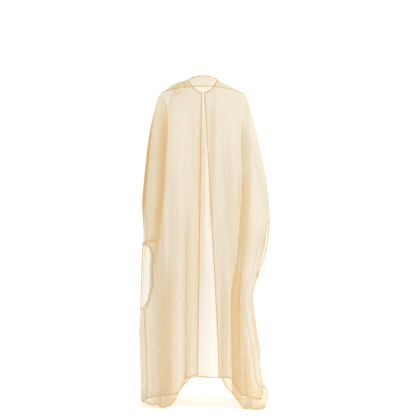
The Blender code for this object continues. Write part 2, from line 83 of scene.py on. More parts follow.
camera_data = bpy.data.cameras.new("camera")
camera = bpy.data.objects.new("camera", camera_data)
bpy.context.scene.collection.objects.link(camera)
camera.location = (EYE_ACROSS, CAMERA_AWAY, EYE_LEVEL)
camera.rotation_euler = (math.radians(90), 0.0, math.radians(180))
camera_data.sensor_width = SENSOR_WIDTH_MM
camera_data.lens = SENSOR_WIDTH_MM * CAMERA_AWAY / (FRAME_PIXELS * PIXEL)
bpy.context.scene.camera = camera
print("lens:", round(camera_data.lens, 1), "mm at", CAMERA_AWAY, "m")

# %% [markdown]
# ## The form of the worn garment
#
# Chiffon has almost no stiffness, so its form is that of what it hangs on: it slopes away from the
# neck, stands out at the sleeves, and then falls free to the floor. One way to get it is a cloth
# simulation over a dress form, but then every fold lands where the solver puts it. Here the form is
# a stack of rings, from the neck to the hem, and each fold is placed on them one by one, so that the
# outline and the main folds come out where the garment has them.
#
# A ring is a rounded rectangle. Each of its sides has how far it stands out from the middle and how
# far down it is.

# %% The rings, from the neck to a little above the hem
Ring = namedtuple(
    "Ring",
    "level right_out right_down left_out left_down back_out back_down front_out front_down square",
)
RINGS = (
    Ring(0.00, 0.0520, 0.001, 0.0520, 0.001, 0.048, -0.008, 0.056, 0.040, 2.30),
    Ring(0.03, 0.0740, 0.0135, 0.0760, 0.006, 0.053, 0.001, 0.070, 0.062, 2.05),
    Ring(0.06, 0.1010, 0.0275, 0.1030, 0.0155, 0.059, 0.012, 0.081, 0.083, 2.10),
    Ring(0.09, 0.1290, 0.041, 0.1300, 0.034, 0.065, 0.022, 0.090, 0.104, 2.15),
    Ring(0.11, 0.1490, 0.055, 0.1510, 0.050, 0.070, 0.031, 0.096, 0.122, 2.20),
    Ring(0.14, 0.1610, 0.080, 0.1618, 0.0694, 0.078, 0.060, 0.101, 0.150, 2.25),
    Ring(0.18, 0.1730, 0.124, 0.1720, 0.108, 0.086, 0.105, 0.105, 0.185, 2.30),
    Ring(0.23, 0.1860, 0.173, 0.1860, 0.165, 0.092, 0.160, 0.109, 0.230, 2.35),
    Ring(0.30, 0.2020, 0.246, 0.2000, 0.250, 0.097, 0.240, 0.112, 0.295, 2.40),
    Ring(0.38, 0.2235, 0.345, 0.2100, 0.345, 0.100, 0.335, 0.114, 0.370, 2.40),
    Ring(0.46, 0.2340, 0.435, 0.2160, 0.435, 0.102, 0.430, 0.116, 0.450, 2.40),
    Ring(0.52, 0.2380, 0.500, 0.2130, 0.495, 0.104, 0.495, 0.117, 0.505, 2.40),
    Ring(0.58, 0.2336, 0.550, 0.2106, 0.560, 0.106, 0.555, 0.118, 0.560, 2.40),
    Ring(0.64, 0.2220, 0.612, 0.2150, 0.620, 0.108, 0.615, 0.119, 0.620, 2.40),
    Ring(0.72, 0.1960, 0.692, 0.2175, 0.700, 0.109, 0.695, 0.120, 0.695, 2.40),
    Ring(0.80, 0.1715, 0.779, 0.2190, 0.785, 0.110, 0.785, 0.122, 0.785, 2.40),
    Ring(0.91, 0.1850, 0.892, 0.2163, 0.892, 0.113, 0.892, 0.126, 0.892, 2.35),
    Ring(0.98, 0.1970, 0.965, 0.2140, 0.965, 0.115, 0.965, 0.129, 0.965, 2.30),
)
SKIRT_LEVEL = RINGS[-1].level
SKIRT_DOWN = RINGS[-1].right_down
HEM_LEVEL = 1.04
print(len(RINGS), "rings")

# %% Below the last ring: how far the sides stand out, by how far down the cloth has come
Skirt = namedtuple("Skirt", "down right_out left_out back_out front_out")
SKIRT = (
    Skirt(0.965, 0.1970, 0.2140, 0.115, 0.129),
    Skirt(1.030, 0.2065, 0.2124, 0.117, 0.131),
    Skirt(1.070, 0.2120, 0.2110, 0.119, 0.132),
    Skirt(1.105, 0.2275, 0.2110, 0.120, 0.133),
    Skirt(1.142, 0.2225, 0.2110, 0.121, 0.134),
    Skirt(1.250, 0.2190, 0.2110, 0.121, 0.134),
)
print(len(SKIRT), "rows from", SKIRT[0].down, "to", SKIRT[-1].down, "m down")

# %% Cloth from the neck to the hem, by the angle round the garment: 0 is the middle of the back
Edge = namedtuple("Edge", "angle down")
HEM_EDGE = (
    Edge(0, 1.032),
    Edge(15, 1.036),
    Edge(19, 1.066),
    Edge(26, 1.098),
    Edge(35, 1.140),
    Edge(44, 1.178),
    Edge(54, 1.190),
    Edge(61, 1.174),
    Edge(66, 1.158),
    Edge(71, 1.148),
    Edge(77, 1.136),
    Edge(84, 1.114),
    Edge(92, 1.086),
    Edge(100, 1.096),
    Edge(109, 1.130),
    Edge(118, 1.142),
    Edge(141, 1.138),
    Edge(149, 1.110),
    Edge(156, 1.074),
    Edge(164, 1.070),
    Edge(172, 1.066),
    Edge(180, 1.062),
    Edge(188, 1.064),
    Edge(196, 1.096),
    Edge(203, 1.126),
    Edge(212, 1.132),
    Edge(250, 1.134),
    Edge(270, 1.136),
    Edge(290, 1.132),
    Edge(308, 1.136),
    Edge(326, 1.140),
    Edge(335, 1.118),
    Edge(341, 1.078),
    Edge(348, 1.036),
    Edge(360, 1.032),
)
FLOOR_DOWN = 1.142
FLOOR_BEND = 0.014  # radius at which the cloth turns onto the floor
FLOOR_RUN_BACK = 1.0  # how much what lies on the floor is turned to the back
FLOOR_RELIEF = 0.2  # how much of a fold still stands up where the cloth lies on the floor
shortest, longest = min(e.down for e in HEM_EDGE), max(e.down for e in HEM_EDGE)
print("cloth from the neck to the hem:", shortest, "to", longest, "m; the floor is at", FLOOR_DOWN)

# %% [markdown]
# ## From tables to a surface
#
# The tables are sparse, and what lies between their rows has to be smooth without bulging past
# them. A spline would overshoot where two rows are alike, so the curve used here flattens at each
# peak instead.

# %% Smooth curves through table values
def smooth_curve(places, values, at):
    """A curve through the values that never overshoots them."""
    places = np.asarray(places, float)
    values = np.asarray(values, float)
    at = np.clip(np.asarray(at, float), places[0], places[-1])
    slopes = np.diff(values) / np.diff(places)
    product = slopes[:-1] * slopes[1:]
    total = slopes[:-1] + slopes[1:]
    inner = np.where(product > 0, 2 * product / np.where(total == 0, 1, total), 0.0)
    tangents = np.concatenate([[slopes[0]], inner, [slopes[-1]]])
    index = np.clip(np.searchsorted(places, at) - 1, 0, len(places) - 2)
    width = places[index + 1] - places[index]
    t = (at - places[index]) / width
    rise = t * t * (3 - 2 * t)
    return (
        values[index] * (1 - rise)
        + values[index + 1] * rise
        + width * tangents[index] * t * (1 - t) ** 2
        + width * tangents[index + 1] * t * t * (t - 1)
    )


def ease(x):
    """0 below 0, 1 above 1 and smooth between."""
    x = np.clip(x, 0.0, 1.0)
    return x * x * (3 - 2 * x)


def ring_value(name, level):
    return smooth_curve([r.level for r in RINGS], [getattr(r, name) for r in RINGS], level)


def skirt_value(name, down):
    return smooth_curve([s.down for s in SKIRT], [getattr(s, name) for s in SKIRT], down)


def hem_down(angle):
    return smooth_curve([e.angle for e in HEM_EDGE], [e.down for e in HEM_EDGE], np.mod(angle, 360.0))


# %% The garment without folds
SIDES_OUT = ("right_out", "left_out", "back_out", "front_out")


def round_corner(value, square):
    return np.sign(value) * np.abs(value) ** (2.0 / square)


def base_form(angle, level):
    """Points at these angles of one ring, and how far down the cloth has come there."""
    turn = np.radians(angle)
    across = np.sin(turn)
    along = np.cos(turn)
    side = across**2
    right = across > 0
    back = along > 0
    side_down = np.where(right, ring_value("right_down", level), ring_value("left_down", level))
    face_down = np.where(back, ring_value("back_down", level), ring_value("front_down", level))
    down = side_down * side + face_down * (1 - side)
    below = max((level - SKIRT_LEVEL) / (HEM_LEVEL - SKIRT_LEVEL), 0.0)
    down = down + below * (hem_down(angle) - SKIRT_DOWN)
    if level > SKIRT_LEVEL:
        out = {name: skirt_value(name, down) for name in SIDES_OUT}
    else:
        out = {name: ring_value(name, level) for name in SIDES_OUT}
    square = ring_value("square", level)
    width = np.where(right, out["right_out"], out["left_out"])
    depth = np.where(back, out["back_out"], out["front_out"])
    return -width * round_corner(across, square), depth * round_corner(along, square), down


# %% Distances along a ring
LINE_ANGLES = {"back": 0.0, "right": 90.0, "front": 180.0, "left": 270.0}
RING_ANGLES = np.linspace(-180.0, 540.0, 1441)


class RingLine:
    """One ring of the garment: turns a distance along it into an angle, and back."""

    kept = {}

    def __init__(self, level):
        x, y, down = base_form(RING_ANGLES, level)
        steps = np.hypot(np.diff(x), np.diff(y))
        self.run = np.concatenate([[0.0], np.cumsum(steps)])

    @classmethod
    def at(cls, level):
        key = round(float(level), 6)
        if key not in cls.kept:
            cls.kept[key] = cls(key)
        return cls.kept[key]

    def distance(self, angle):
        return np.interp(angle, RING_ANGLES, self.run)

    def angle(self, line, offset):
        return np.interp(self.distance(LINE_ANGLES[line]) + offset, self.run, RING_ANGLES)

    def quarter(self, line, hand=1):
        """Distance from this line to the next one round, or to the one before it."""
        start = LINE_ANGLES[line]
        return abs(self.distance(start + 90.0 * hand) - self.distance(start))

    def from_line(self, angle, line):
        """Distance along the ring from a line, the shorter way round."""
        whole = self.distance(360.0) - self.distance(0.0)
        apart = self.distance(angle) - self.distance(LINE_ANGLES[line])
        return (apart + whole / 2) % whole - whole / 2


MIDDLE_LEVEL = 0.6
middle_ring = RingLine.at(MIDDLE_LEVEL)
whole_round = float(middle_ring.distance(360.0) - middle_ring.distance(0.0))
print("round the garment at", MIDDLE_LEVEL, "m:", round(whole_round, 3))

# %% [markdown]
# ## Seams and folds
#
# The sleeves are sewn to the back and the fronts along a seam that starts on the shoulder and then
# sinks into the deepest fold of the garment, because the cloth falls inwards beside each sleeve.
#
# A fold is a soft ridge or trough that runs down the cloth. Real folds are uneven: they start at
# different heights, drift sideways, and one flank is often steeper than the other. Each row below
# has those as numbers. The large ones match the frame; the finer ones are only in the cloth.
#
# A place on a ring is given as an offset: a distance along it from the middle of the back, of the
# front or of one side, which grows from the back to the right, the front and the left.

# %% The armhole seams
SHOULDER_LEVEL = 0.11
SEAM_LEVELS = (SHOULDER_LEVEL, 0.18, 0.40, 0.62, 0.80, HEM_LEVEL)
Seam = namedtuple("Seam", "at_18 at_40 at_62 at_80 at_hem upper_depth lower_depth")
SEAMS = {
    ("back", 1): Seam(0.158, 0.150, 0.134, 0.113, 0.113, -0.034, -0.030),
    ("back", -1): Seam(0.138, 0.148, 0.180, 0.172, 0.165, -0.034, -0.020),
    ("front", 1): Seam(0.160, 0.162, 0.158, 0.152, 0.150, -0.028, -0.024),
    ("front", -1): Seam(0.160, 0.162, 0.158, 0.154, 0.152, -0.028, -0.026),
}
SEAM_FOLD_WIDTH = 0.0105
print(len(SEAMS), "armhole seams, each starting at level", SHOULDER_LEVEL)


def seam_offset(line, hand, level):
    """Distance from the middle of the back or front to its armhole seam, or to the shoulder seam."""
    if level <= SHOULDER_LEVEL:
        return RingLine.at(level).quarter(line, hand)
    shoulder = RingLine.at(SHOULDER_LEVEL).quarter(line, hand)
    places = SEAMS[line, hand][: len(SEAM_LEVELS) - 1]
    return float(smooth_curve(SEAM_LEVELS, (shoulder, *places), level))


# %% The large folds, and the fine ones between them
Fold = namedtuple("Fold", "line top_offset bottom_offset top bottom width depth lean wander")
LARGE_FOLDS = (
    # back, from its left seam to its right one
    Fold("back", -0.122, -0.122, 0.64, 1.20, 0.0100, -0.014, 0.0, 0.0),
    Fold("back", -0.082, -0.080, 0.12, 1.20, 0.0220, 0.013, 0.0, 0.0),
    Fold("back", -0.104, -0.102, 0.70, 1.20, 0.0070, 0.008, 0.0, 0.0),
    Fold("back", -0.058, -0.058, 0.45, 1.20, 0.0055, -0.009, 0.0, 0.0),
    Fold("back", -0.036, -0.042, 0.40, 1.20, 0.0100, 0.007, 0.0, 0.0),
    Fold("back", -0.006, -0.014, 0.08, 1.20, 0.0120, -0.014, 0.0, 0.0),
    Fold("back", 0.032, 0.020, 0.08, 0.60, 0.0090, -0.010, 0.0, 0.0),
    Fold("back", 0.040, 0.030, 0.55, 1.20, 0.0200, 0.009, 0.0, 0.0),
    Fold("back", 0.068, 0.064, 0.62, 1.20, 0.0060, -0.009, 0.0, 0.0),
    Fold("back", 0.088, 0.086, 0.66, 1.20, 0.0065, 0.008, 0.0, 0.0),
    Fold("back", 0.120, 0.134, 0.34, 0.56, 0.0070, -0.012, 0.0, 0.0),
    Fold("back", 0.148, 0.156, 0.66, 1.20, 0.0160, 0.020, 0.0, 0.0),
    # right sleeve
    Fold("right", -0.036, -0.034, 0.20, 1.20, 0.0180, -0.008, 0.0, 0.0),
    Fold("right", 0.024, 0.026, 0.30, 1.20, 0.0160, -0.009, 0.0, 0.0),
    Fold("right", 0.060, 0.050, 0.16, 1.20, 0.0180, -0.014, 0.0, 0.0),
    Fold("right", -0.012, -0.016, 0.70, 1.20, 0.0140, 0.010, 0.0, 0.0),
    # left sleeve
    Fold("left", 0.030, 0.036, 0.22, 1.20, 0.0120, -0.010, 0.0, 0.0),
    Fold("left", -0.026, -0.030, 0.26, 1.20, 0.0160, -0.010, 0.0, 0.0),
    Fold("left", -0.062, -0.066, 0.16, 1.20, 0.0160, -0.013, 0.0, 0.0),
    Fold("left", 0.006, 0.006, 0.80, 1.20, 0.0120, 0.008, 0.0, 0.0),
    # fronts, from the right one's seam to the left one's
    Fold("front", -0.112, -0.122, 0.30, 1.20, 0.0120, -0.013, 0.0, 0.0),
    Fold("front", -0.082, -0.090, 0.14, 1.20, 0.0180, 0.011, 0.0, 0.0),
    Fold("front", -0.056, -0.064, 0.42, 1.20, 0.0100, -0.009, 0.0, 0.0),
    Fold("front", 0.050, 0.058, 0.34, 1.20, 0.0100, -0.009, 0.0, 0.0),
    Fold("front", 0.078, 0.084, 0.16, 1.20, 0.0180, 0.010, 0.0, 0.0),
    Fold("front", 0.108, 0.112, 0.26, 1.20, 0.0120, -0.013, 0.0, 0.0),
    Fold("front", 0.134, 0.140, 0.60, 1.20, 0.0100, 0.009, 0.0, 0.0),
)
FINE_FOLDS = (
    # back: soft drifts below the yoke
    Fold("back", -0.118, -0.126, 0.12, 0.46, 0.0060, 0.0050, 0.3, 0.002),
    Fold("back", -0.046, -0.040, 0.12, 0.52, 0.0090, -0.0050, 0.2, 0.003),
    Fold("back", 0.014, 0.008, 0.14, 0.58, 0.0060, 0.0045, -0.3, 0.002),
    Fold("back", 0.062, 0.074, 0.12, 0.60, 0.0080, -0.0040, 0.0, 0.003),
    Fold("back", 0.090, 0.098, 0.14, 0.66, 0.0120, 0.0060, 0.3, 0.003),
    Fold("back", 0.120, 0.130, 0.43, 0.52, 0.0032, -0.0060, 0.4, 0.001),
    Fold("back", 0.112, 0.118, 0.60, 0.74, 0.0045, 0.0045, 0.0, 0.002),
    # back: pleats towards the hem
    Fold("back", -0.150, -0.146, 0.60, 1.20, 0.0060, 0.0036, 0.3, 0.002),
    Fold("back", -0.134, -0.136, 0.66, 1.20, 0.0045, -0.0027, 0.0, 0.002),
    Fold("back", -0.112, -0.110, 0.62, 1.20, 0.0035, -0.0018, 0.0, 0.002),
    Fold("back", -0.070, -0.072, 0.66, 1.20, 0.0045, 0.0022, 0.4, 0.002),
    Fold("back", -0.028, -0.056, 0.60, 1.20, 0.0042, -0.0037, 0.4, 0.001),
    Fold("back", -0.021, -0.026, 0.50, 1.20, 0.0034, -0.0027, 0.4, 0.001),
    Fold("back", 0.048, 0.047, 0.74, 1.20, 0.0036, -0.0008, 0.0, 0.001),
    Fold("back", 0.057, 0.055, 0.70, 1.20, 0.0032, 0.0011, 0.0, 0.001),
    Fold("back", 0.078, 0.076, 0.72, 1.20, 0.0026, -0.0020, 0.0, 0.001),
    Fold("back", 0.102, 0.102, 0.58, 1.20, 0.0034, -0.0027, 0.6, 0.001),
    # back: troughs that spread into the corner of the hem on the right
    Fold("back", 0.138, 0.144, 0.90, 1.20, 0.0055, -0.0070, 0.3, 0.0),
    Fold("back", 0.152, 0.172, 0.95, 1.20, 0.0050, -0.0110, 0.3, 0.0),
    Fold("back", 0.172, 0.190, 0.94, 1.20, 0.0070, -0.0050, 0.3, 0.0),
    # back: crumples on the floor on the left
    Fold("back", -0.148, -0.156, 0.96, 1.20, 0.0040, -0.0060, 0.0, 0.0),
    Fold("back", -0.128, -0.134, 0.97, 1.20, 0.0040, 0.0060, 0.0, 0.0),
    Fold("back", -0.114, -0.118, 0.98, 1.20, 0.0035, -0.0050, 0.0, 0.0),
    # left shoulder, pushed up into short slanting ridges
    Fold("back", -0.072, -0.046, 0.01, 0.12, 0.0032, 0.0042, 0.3, 0.0),
    Fold("back", -0.086, -0.060, 0.01, 0.14, 0.0036, -0.0045, 0.3, 0.0),
    Fold("back", -0.100, -0.074, 0.02, 0.15, 0.0034, 0.0046, 0.3, 0.0),
    Fold("back", -0.116, -0.094, 0.04, 0.18, 0.0036, -0.0040, 0.3, 0.0),
    Fold("back", -0.126, -0.124, 0.12, 0.28, 0.0060, 0.0060, 0.0, 0.0),
    # right sleeve
    Fold("right", -0.076, -0.060, 0.14, 0.62, 0.0090, 0.0050, 0.3, 0.003),
    Fold("right", -0.006, 0.000, 0.14, 0.66, 0.0050, -0.0030, 0.0, 0.003),
    Fold("right", 0.010, 0.010, 0.66, 1.20, 0.0060, -0.0050, 0.3, 0.002),
    Fold("right", 0.040, 0.040, 0.24, 1.20, 0.0080, 0.0060, 0.0, 0.002),
    Fold("right", 0.078, 0.066, 0.40, 1.20, 0.0050, 0.0040, 0.0, 0.002),
    # right sleeve: spread again where it reaches the floor
    Fold("right", -0.036, -0.034, 0.97, 1.20, 0.0180, 0.0080, 0.0, 0.0),
    Fold("right", -0.014, -0.016, 0.97, 1.20, 0.0140, -0.0085, 0.0, 0.0),
    # right sleeve: crumples behind its wrist opening
    Fold("right", -0.044, -0.012, 0.525, 0.600, 0.0040, 0.0045, 0.0, 0.0),
    Fold("right", -0.060, -0.020, 0.555, 0.640, 0.0040, -0.0050, 0.0, 0.0),
    Fold("right", -0.036, -0.006, 0.590, 0.650, 0.0040, 0.0040, 0.0, 0.0),
    # left sleeve
    Fold("left", 0.060, 0.058, 0.14, 1.20, 0.0070, 0.0045, 0.3, 0.002),
    Fold("left", 0.022, 0.024, 0.13, 0.58, 0.0035, -0.0080, 0.2, 0.002),
    Fold("left", 0.012, 0.013, 0.13, 0.58, 0.0030, -0.0090, 0.2, 0.002),
    Fold("left", 0.003, 0.004, 0.13, 0.58, 0.0030, -0.0080, 0.0, 0.001),
    Fold("left", -0.044, -0.046, 0.20, 1.20, 0.0080, 0.0060, 0.0, 0.002),
    Fold("left", -0.078, -0.080, 0.36, 1.20, 0.0050, 0.0040, 0.0, 0.002),
    # left sleeve: the crease that leads to the top of its wrist opening
    Fold("left", 0.116, -0.030, 0.579, 0.608, 0.0220, 0.0080, 0.0, 0.0),
    # left sleeve: the front half is pulled flat beside its wrist opening
    Fold("left", -0.064, -0.064, 0.54, 0.94, 0.0165, 0.0110, 0.0, 0.0),
    Fold("left", -0.028, -0.028, 0.54, 0.94, 0.0165, 0.0085, 0.0, 0.0),
    # fronts
    Fold("front", -0.138, -0.140, 0.44, 1.20, 0.0060, 0.0045, 0.3, 0.002),
    Fold("front", -0.070, -0.076, 0.60, 1.20, 0.0045, 0.0030, 0.0, 0.002),
    Fold("front", 0.026, 0.036, 0.22, 1.20, 0.0080, 0.0040, 0.0, 0.002),
    Fold("front", 0.094, 0.098, 0.42, 1.20, 0.0050, -0.0040, 0.0, 0.002),
)
FOLDS = LARGE_FOLDS + FINE_FOLDS
print(len(LARGE_FOLDS), "large folds and", len(FINE_FOLDS), "fine ones")

# %% How a fold shapes a ring
FOLD_START = 0.16  # the length of cloth over which a fold grows from nothing
START_SHARE = 0.45  # at the most, as a share of the fold's own length
WANDER_LENGTH = 0.41  # length of one sideways drift
WANDER_TURN = 1.7  # how far apart two folds are in their drifts
SEAM_START = 0.18  # the length over which a seam sinks into its fold
SEAM_CHANGE_FROM = 0.55  # the level where a seam's fold starts to go over to its lower depth
SEAM_CHANGE_OVER = 0.20


def fold_depth(ring, angle, level):
    """How far the folds move the cloth out at these angles of a ring."""
    moved = np.zeros(np.shape(angle))
    apart = {line: ring.from_line(angle, line) for line in LINE_ANGLES}
    for number, fold in enumerate(FOLDS):
        if not fold.top < level < fold.bottom:
            continue
        way = (level - fold.top) / (min(fold.bottom, HEM_LEVEL) - fold.top)
        middle = fold.top_offset + (fold.bottom_offset - fold.top_offset) * way
        middle += fold.wander * math.sin(math.tau * level / WANDER_LENGTH + WANDER_TURN * number)
        start = min(FOLD_START, START_SHARE * (min(fold.bottom, HEM_LEVEL) - fold.top))
        grown = ease((level - fold.top) / start)
        if fold.bottom < HEM_LEVEL:
            grown = grown * ease((fold.bottom - level) / start)
        away = (apart[fold.line] - middle) / fold.width
        away = away / np.where(away > 0, 1 + fold.lean, 1 - fold.lean)
        moved = moved + fold.depth * grown * np.exp(-(away**2))
    for (line, hand), seam in SEAMS.items():
        if level > SHOULDER_LEVEL:
            away = apart[line] - hand * seam_offset(line, hand, level)
            lower = ease((level - SEAM_CHANGE_FROM) / SEAM_CHANGE_OVER)
            depth = seam.upper_depth + (seam.lower_depth - seam.upper_depth) * lower
            grown = ease((level - SHOULDER_LEVEL) / SEAM_START)
            moved = moved + depth * grown * np.exp(-((away / SEAM_FOLD_WIDTH) ** 2))
    return moved


# %% [markdown]
# ## Pleats that lie flat
#
# In some places the cloth has slipped over itself and lies in three layers. That hardly changes the
# form, but on sheer cloth it shows as a golden band with clear edges. Each row says where such a
# band runs, how wide it is, how soft its edges are, and how many layers it adds. Some rows are
# painted shade, with layers that darken a trough, and some are painted light, with fewer layers
# where the lamp lights the cloth more.

# %% The flat pleats
PleatOrPaintedLight = namedtuple("PleatOrPaintedLight", "line top_offset bottom_offset top bottom width softness layers")
PLEATS_AND_PAINTED_LIGHT = (
    # beside the right sleeve, narrow above and wide below
    PleatOrPaintedLight("back", 0.148, 0.131, 0.30, 0.66, 0.015, 0.006, 0.50),
    PleatOrPaintedLight("back", 0.117, 0.118, 0.62, 1.20, 0.035, 0.005, 0.64),
    PleatOrPaintedLight("back", 0.120, 0.130, 0.43, 0.53, 0.004, 0.003, 0.70),
    # beside the left sleeve, narrow above and wide towards the wrist opening
    PleatOrPaintedLight("back", -0.136, -0.141, 0.15, 0.42, 0.010, 0.006, 1.10),
    PleatOrPaintedLight("back", -0.124, -0.172, 0.34, 0.64, 0.020, 0.009, 0.80),
    PleatOrPaintedLight("back", -0.126, -0.128, 0.64, 1.20, 0.062, 0.020, 0.40),
    # paler bands, with fewer layers: those right of the middle of the back are painted light, brighter on
    # the side that the lamp lights; the two left of the middle let more light through
    PleatOrPaintedLight("back", -0.078, -0.076, 0.58, 1.20, 0.022, 0.010, -0.30),
    PleatOrPaintedLight("back", -0.078, -0.078, 0.13, 0.56, 0.056, 0.030, -0.20),
    PleatOrPaintedLight("back", 0.172, 0.176, 0.60, 0.98, 0.070, 0.030, -0.52),
    PleatOrPaintedLight("back", 0.200, 0.200, 0.14, 0.62, 0.090, 0.040, -0.48),
    PleatOrPaintedLight("back", 0.095, 0.085, 0.00, 0.36, 0.080, 0.050, -0.25),
    PleatOrPaintedLight("back", 0.154, 0.150, 0.13, 0.44, 0.032, 0.014, -0.70),
    # the left corner of the hem, where cloth lies bunched on the floor
    PleatOrPaintedLight("back", -0.150, -0.150, 0.84, 1.20, 0.090, 0.030, 0.25),
    # the right corner of the hem, turned up a little where it lies on the floor
    PleatOrPaintedLight("right", -0.046, -0.046, 0.93, 1.20, 0.090, 0.040, 0.10),
    PleatOrPaintedLight("back", 0.190, 0.190, 1.006, 1.20, 0.150, 0.030, 0.36),
    # soft troughs down the middle of the back: their extra layers are painted shade, darker in the
    # troughs
    PleatOrPaintedLight("back", -0.004, -0.014, 0.14, 0.84, 0.030, 0.022, 0.55),
    PleatOrPaintedLight("back", 0.034, 0.026, 0.12, 0.62, 0.022, 0.016, 0.35),
    # thin lines down the middle of the back
    PleatOrPaintedLight("back", -0.058, -0.060, 0.52, 1.20, 0.004, 0.003, 0.80),
    PleatOrPaintedLight("back", -0.026, -0.060, 0.68, 1.10, 0.004, 0.003, 0.60),
    PleatOrPaintedLight("back", 0.068, 0.066, 0.76, 1.20, 0.003, 0.002, 0.50),
    PleatOrPaintedLight("back", 0.078, 0.076, 0.72, 1.20, 0.003, 0.002, 0.40),
    PleatOrPaintedLight("back", 0.088, 0.086, 0.74, 1.20, 0.003, 0.002, 0.40),
    # a pale lens between two creases, above the fold beside the left sleeve
    PleatOrPaintedLight("back", -0.146, -0.129, 0.13, 0.25, 0.004, 0.004, 1.00),
    PleatOrPaintedLight("back", -0.106, -0.127, 0.12, 0.25, 0.004, 0.004, 1.00),
    PleatOrPaintedLight("back", -0.127, -0.128, 0.13, 0.23, 0.018, 0.010, -0.45),
    # the pushed-up left shoulder
    PleatOrPaintedLight("back", -0.102, -0.098, 0.080, 0.150, 0.006, 0.005, 1.20),
    PleatOrPaintedLight("back", -0.072, -0.098, 0.116, 0.142, 0.012, 0.010, 1.00),
    PleatOrPaintedLight("back", -0.060, -0.064, 0.070, 0.126, 0.006, 0.005, 1.10),
    PleatOrPaintedLight("back", -0.068, -0.104, 0.062, 0.096, 0.012, 0.010, 1.00),
    PleatOrPaintedLight("back", -0.086, -0.078, 0.084, 0.128, 0.005, 0.004, 0.60),
    PleatOrPaintedLight("back", -0.080, -0.082, 0.02, 0.16, 0.054, 0.024, 0.25),
    # the left sleeve's outer edge, and the crease that leads to its wrist opening
    PleatOrPaintedLight("left", 0.018, 0.020, 0.11, 0.60, 0.052, 0.018, 0.85),
    PleatOrPaintedLight("left", 0.004, 0.004, 0.11, 0.60, 0.014, 0.006, 0.90),
    PleatOrPaintedLight("left", 0.072, 0.072, 0.11, 0.58, 0.060, 0.024, 0.45),
    PleatOrPaintedLight("left", 0.116, -0.030, 0.579, 0.608, 0.036, 0.024, 2.80),
    # crumples behind the right sleeve's wrist opening
    PleatOrPaintedLight("right", -0.048, -0.012, 0.53, 0.61, 0.004, 0.003, 0.50),
    PleatOrPaintedLight("right", -0.062, -0.024, 0.56, 0.64, 0.004, 0.003, 0.40),
    # troughs that spread into the corner of the hem on the right: their extra layers are painted shade
    # inside the troughs
    PleatOrPaintedLight("back", 0.159, 0.178, 0.982, 1.024, 0.008, 0.007, 0.90),
    PleatOrPaintedLight("back", 0.140, 0.162, 0.988, 1.034, 0.008, 0.007, 0.80),
)
PLEAT_FADE = 0.25  # share of a pleat's length over which it starts, and over which it ends
print(len(PLEATS_AND_PAINTED_LIGHT), "flat pleats")


def pleat_and_painted_light_layers(ring, level, angle):
    """Layers that flat pleats add at these angles of a ring, with the painted shade and light of some
    rows.
    """
    layers = np.zeros(np.shape(angle))
    apart = {line: ring.from_line(angle, line) for line in LINE_ANGLES}
    for pleat in PLEATS_AND_PAINTED_LIGHT:
        if not pleat.top < level < pleat.bottom:
            continue
        end = min(pleat.bottom, HEM_LEVEL)
        way = (level - pleat.top) / (end - pleat.top)
        middle = pleat.top_offset + (pleat.bottom_offset - pleat.top_offset) * way
        fade = PLEAT_FADE * (end - pleat.top)
        shown = ease((level - pleat.top) / fade)
        if pleat.bottom < HEM_LEVEL:
            shown = shown * ease((pleat.bottom - level) / fade)
        inside = (pleat.width / 2 - np.abs(apart[pleat.line] - middle)) / pleat.softness
        layers = layers + pleat.layers * shown * ease(inside + 0.5)
    return layers


# %% [markdown]
# ## Uneven cloth
#
# Between the folds, chiffon is never quite smooth. It has faint ripples a few millimetres wide that
# run down with the threads, and where a hem has been sewn it is a little puckered. A table of random
# values, read smoothly, gives both. It always starts from the same number, so that the cloth is the
# same each time.

# %% Smooth random ripples
RIPPLE_SEED = 7
ripple_table = np.random.default_rng(RIPPLE_SEED).uniform(-1.0, 1.0, (256, 256))


def ripples(across, down):
    """Smooth random values from -1 to 1, one hill to each whole number across and down."""
    across, down = np.broadcast_arrays(np.asarray(across, float), np.asarray(down, float))
    left = np.floor(across).astype(int)
    above = np.floor(down).astype(int)
    share_x = ease(across - left)
    share_y = ease(down - above)
    size = len(ripple_table)

    def corner(x, y):
        return ripple_table[(left + x) % size, (above + y) % size]

    upper = corner(0, 0) * (1 - share_x) + corner(1, 0) * share_x
    lower = corner(0, 1) * (1 - share_x) + corner(1, 1) * share_x
    return upper * (1 - share_y) + lower * share_y


Ripple = namedtuple("Ripple", "width length height top")
RIPPLES = (
    Ripple(0.0190, 0.360, 0.0007, 0.10),
    Ripple(0.0080, 0.300, 0.00008, 0.50),
    Ripple(0.0300, 0.160, 0.0009, 0.00),
)
RIPPLE_START = 0.20  # the length over which ripples grow below their top
RIPPLE_AT_TOP = 0.3  # and how far they have grown at it
LINE_APART = 61.0  # hills of the table between two sides of the garment
KIND_APART = 17.0  # and between two kinds of ripple
print(len(RIPPLES), "kinds of ripple, the highest", max(ripple.height for ripple in RIPPLES), "m")


def ripple_depth(offset, level, line):
    """Height of the faint ripples at these places of a ring."""
    start = list(LINE_ANGLES).index(line) * LINE_APART
    moved = np.zeros(np.shape(offset))
    for number, ripple in enumerate(RIPPLES):
        grown = ease((level - ripple.top) / RIPPLE_START + RIPPLE_AT_TOP)
        hills = ripples(offset / ripple.width + start, level / ripple.length + KIND_APART * number)
        moved = moved + ripple.height * grown * hills
    return moved


# %% [markdown]
# ## The wrist openings
#
# Each sleeve's outer edge is left open for about 22 cm. One of the two edges is drawn in and the
# other stays on the outline, so the opening shows as a long pale gap.

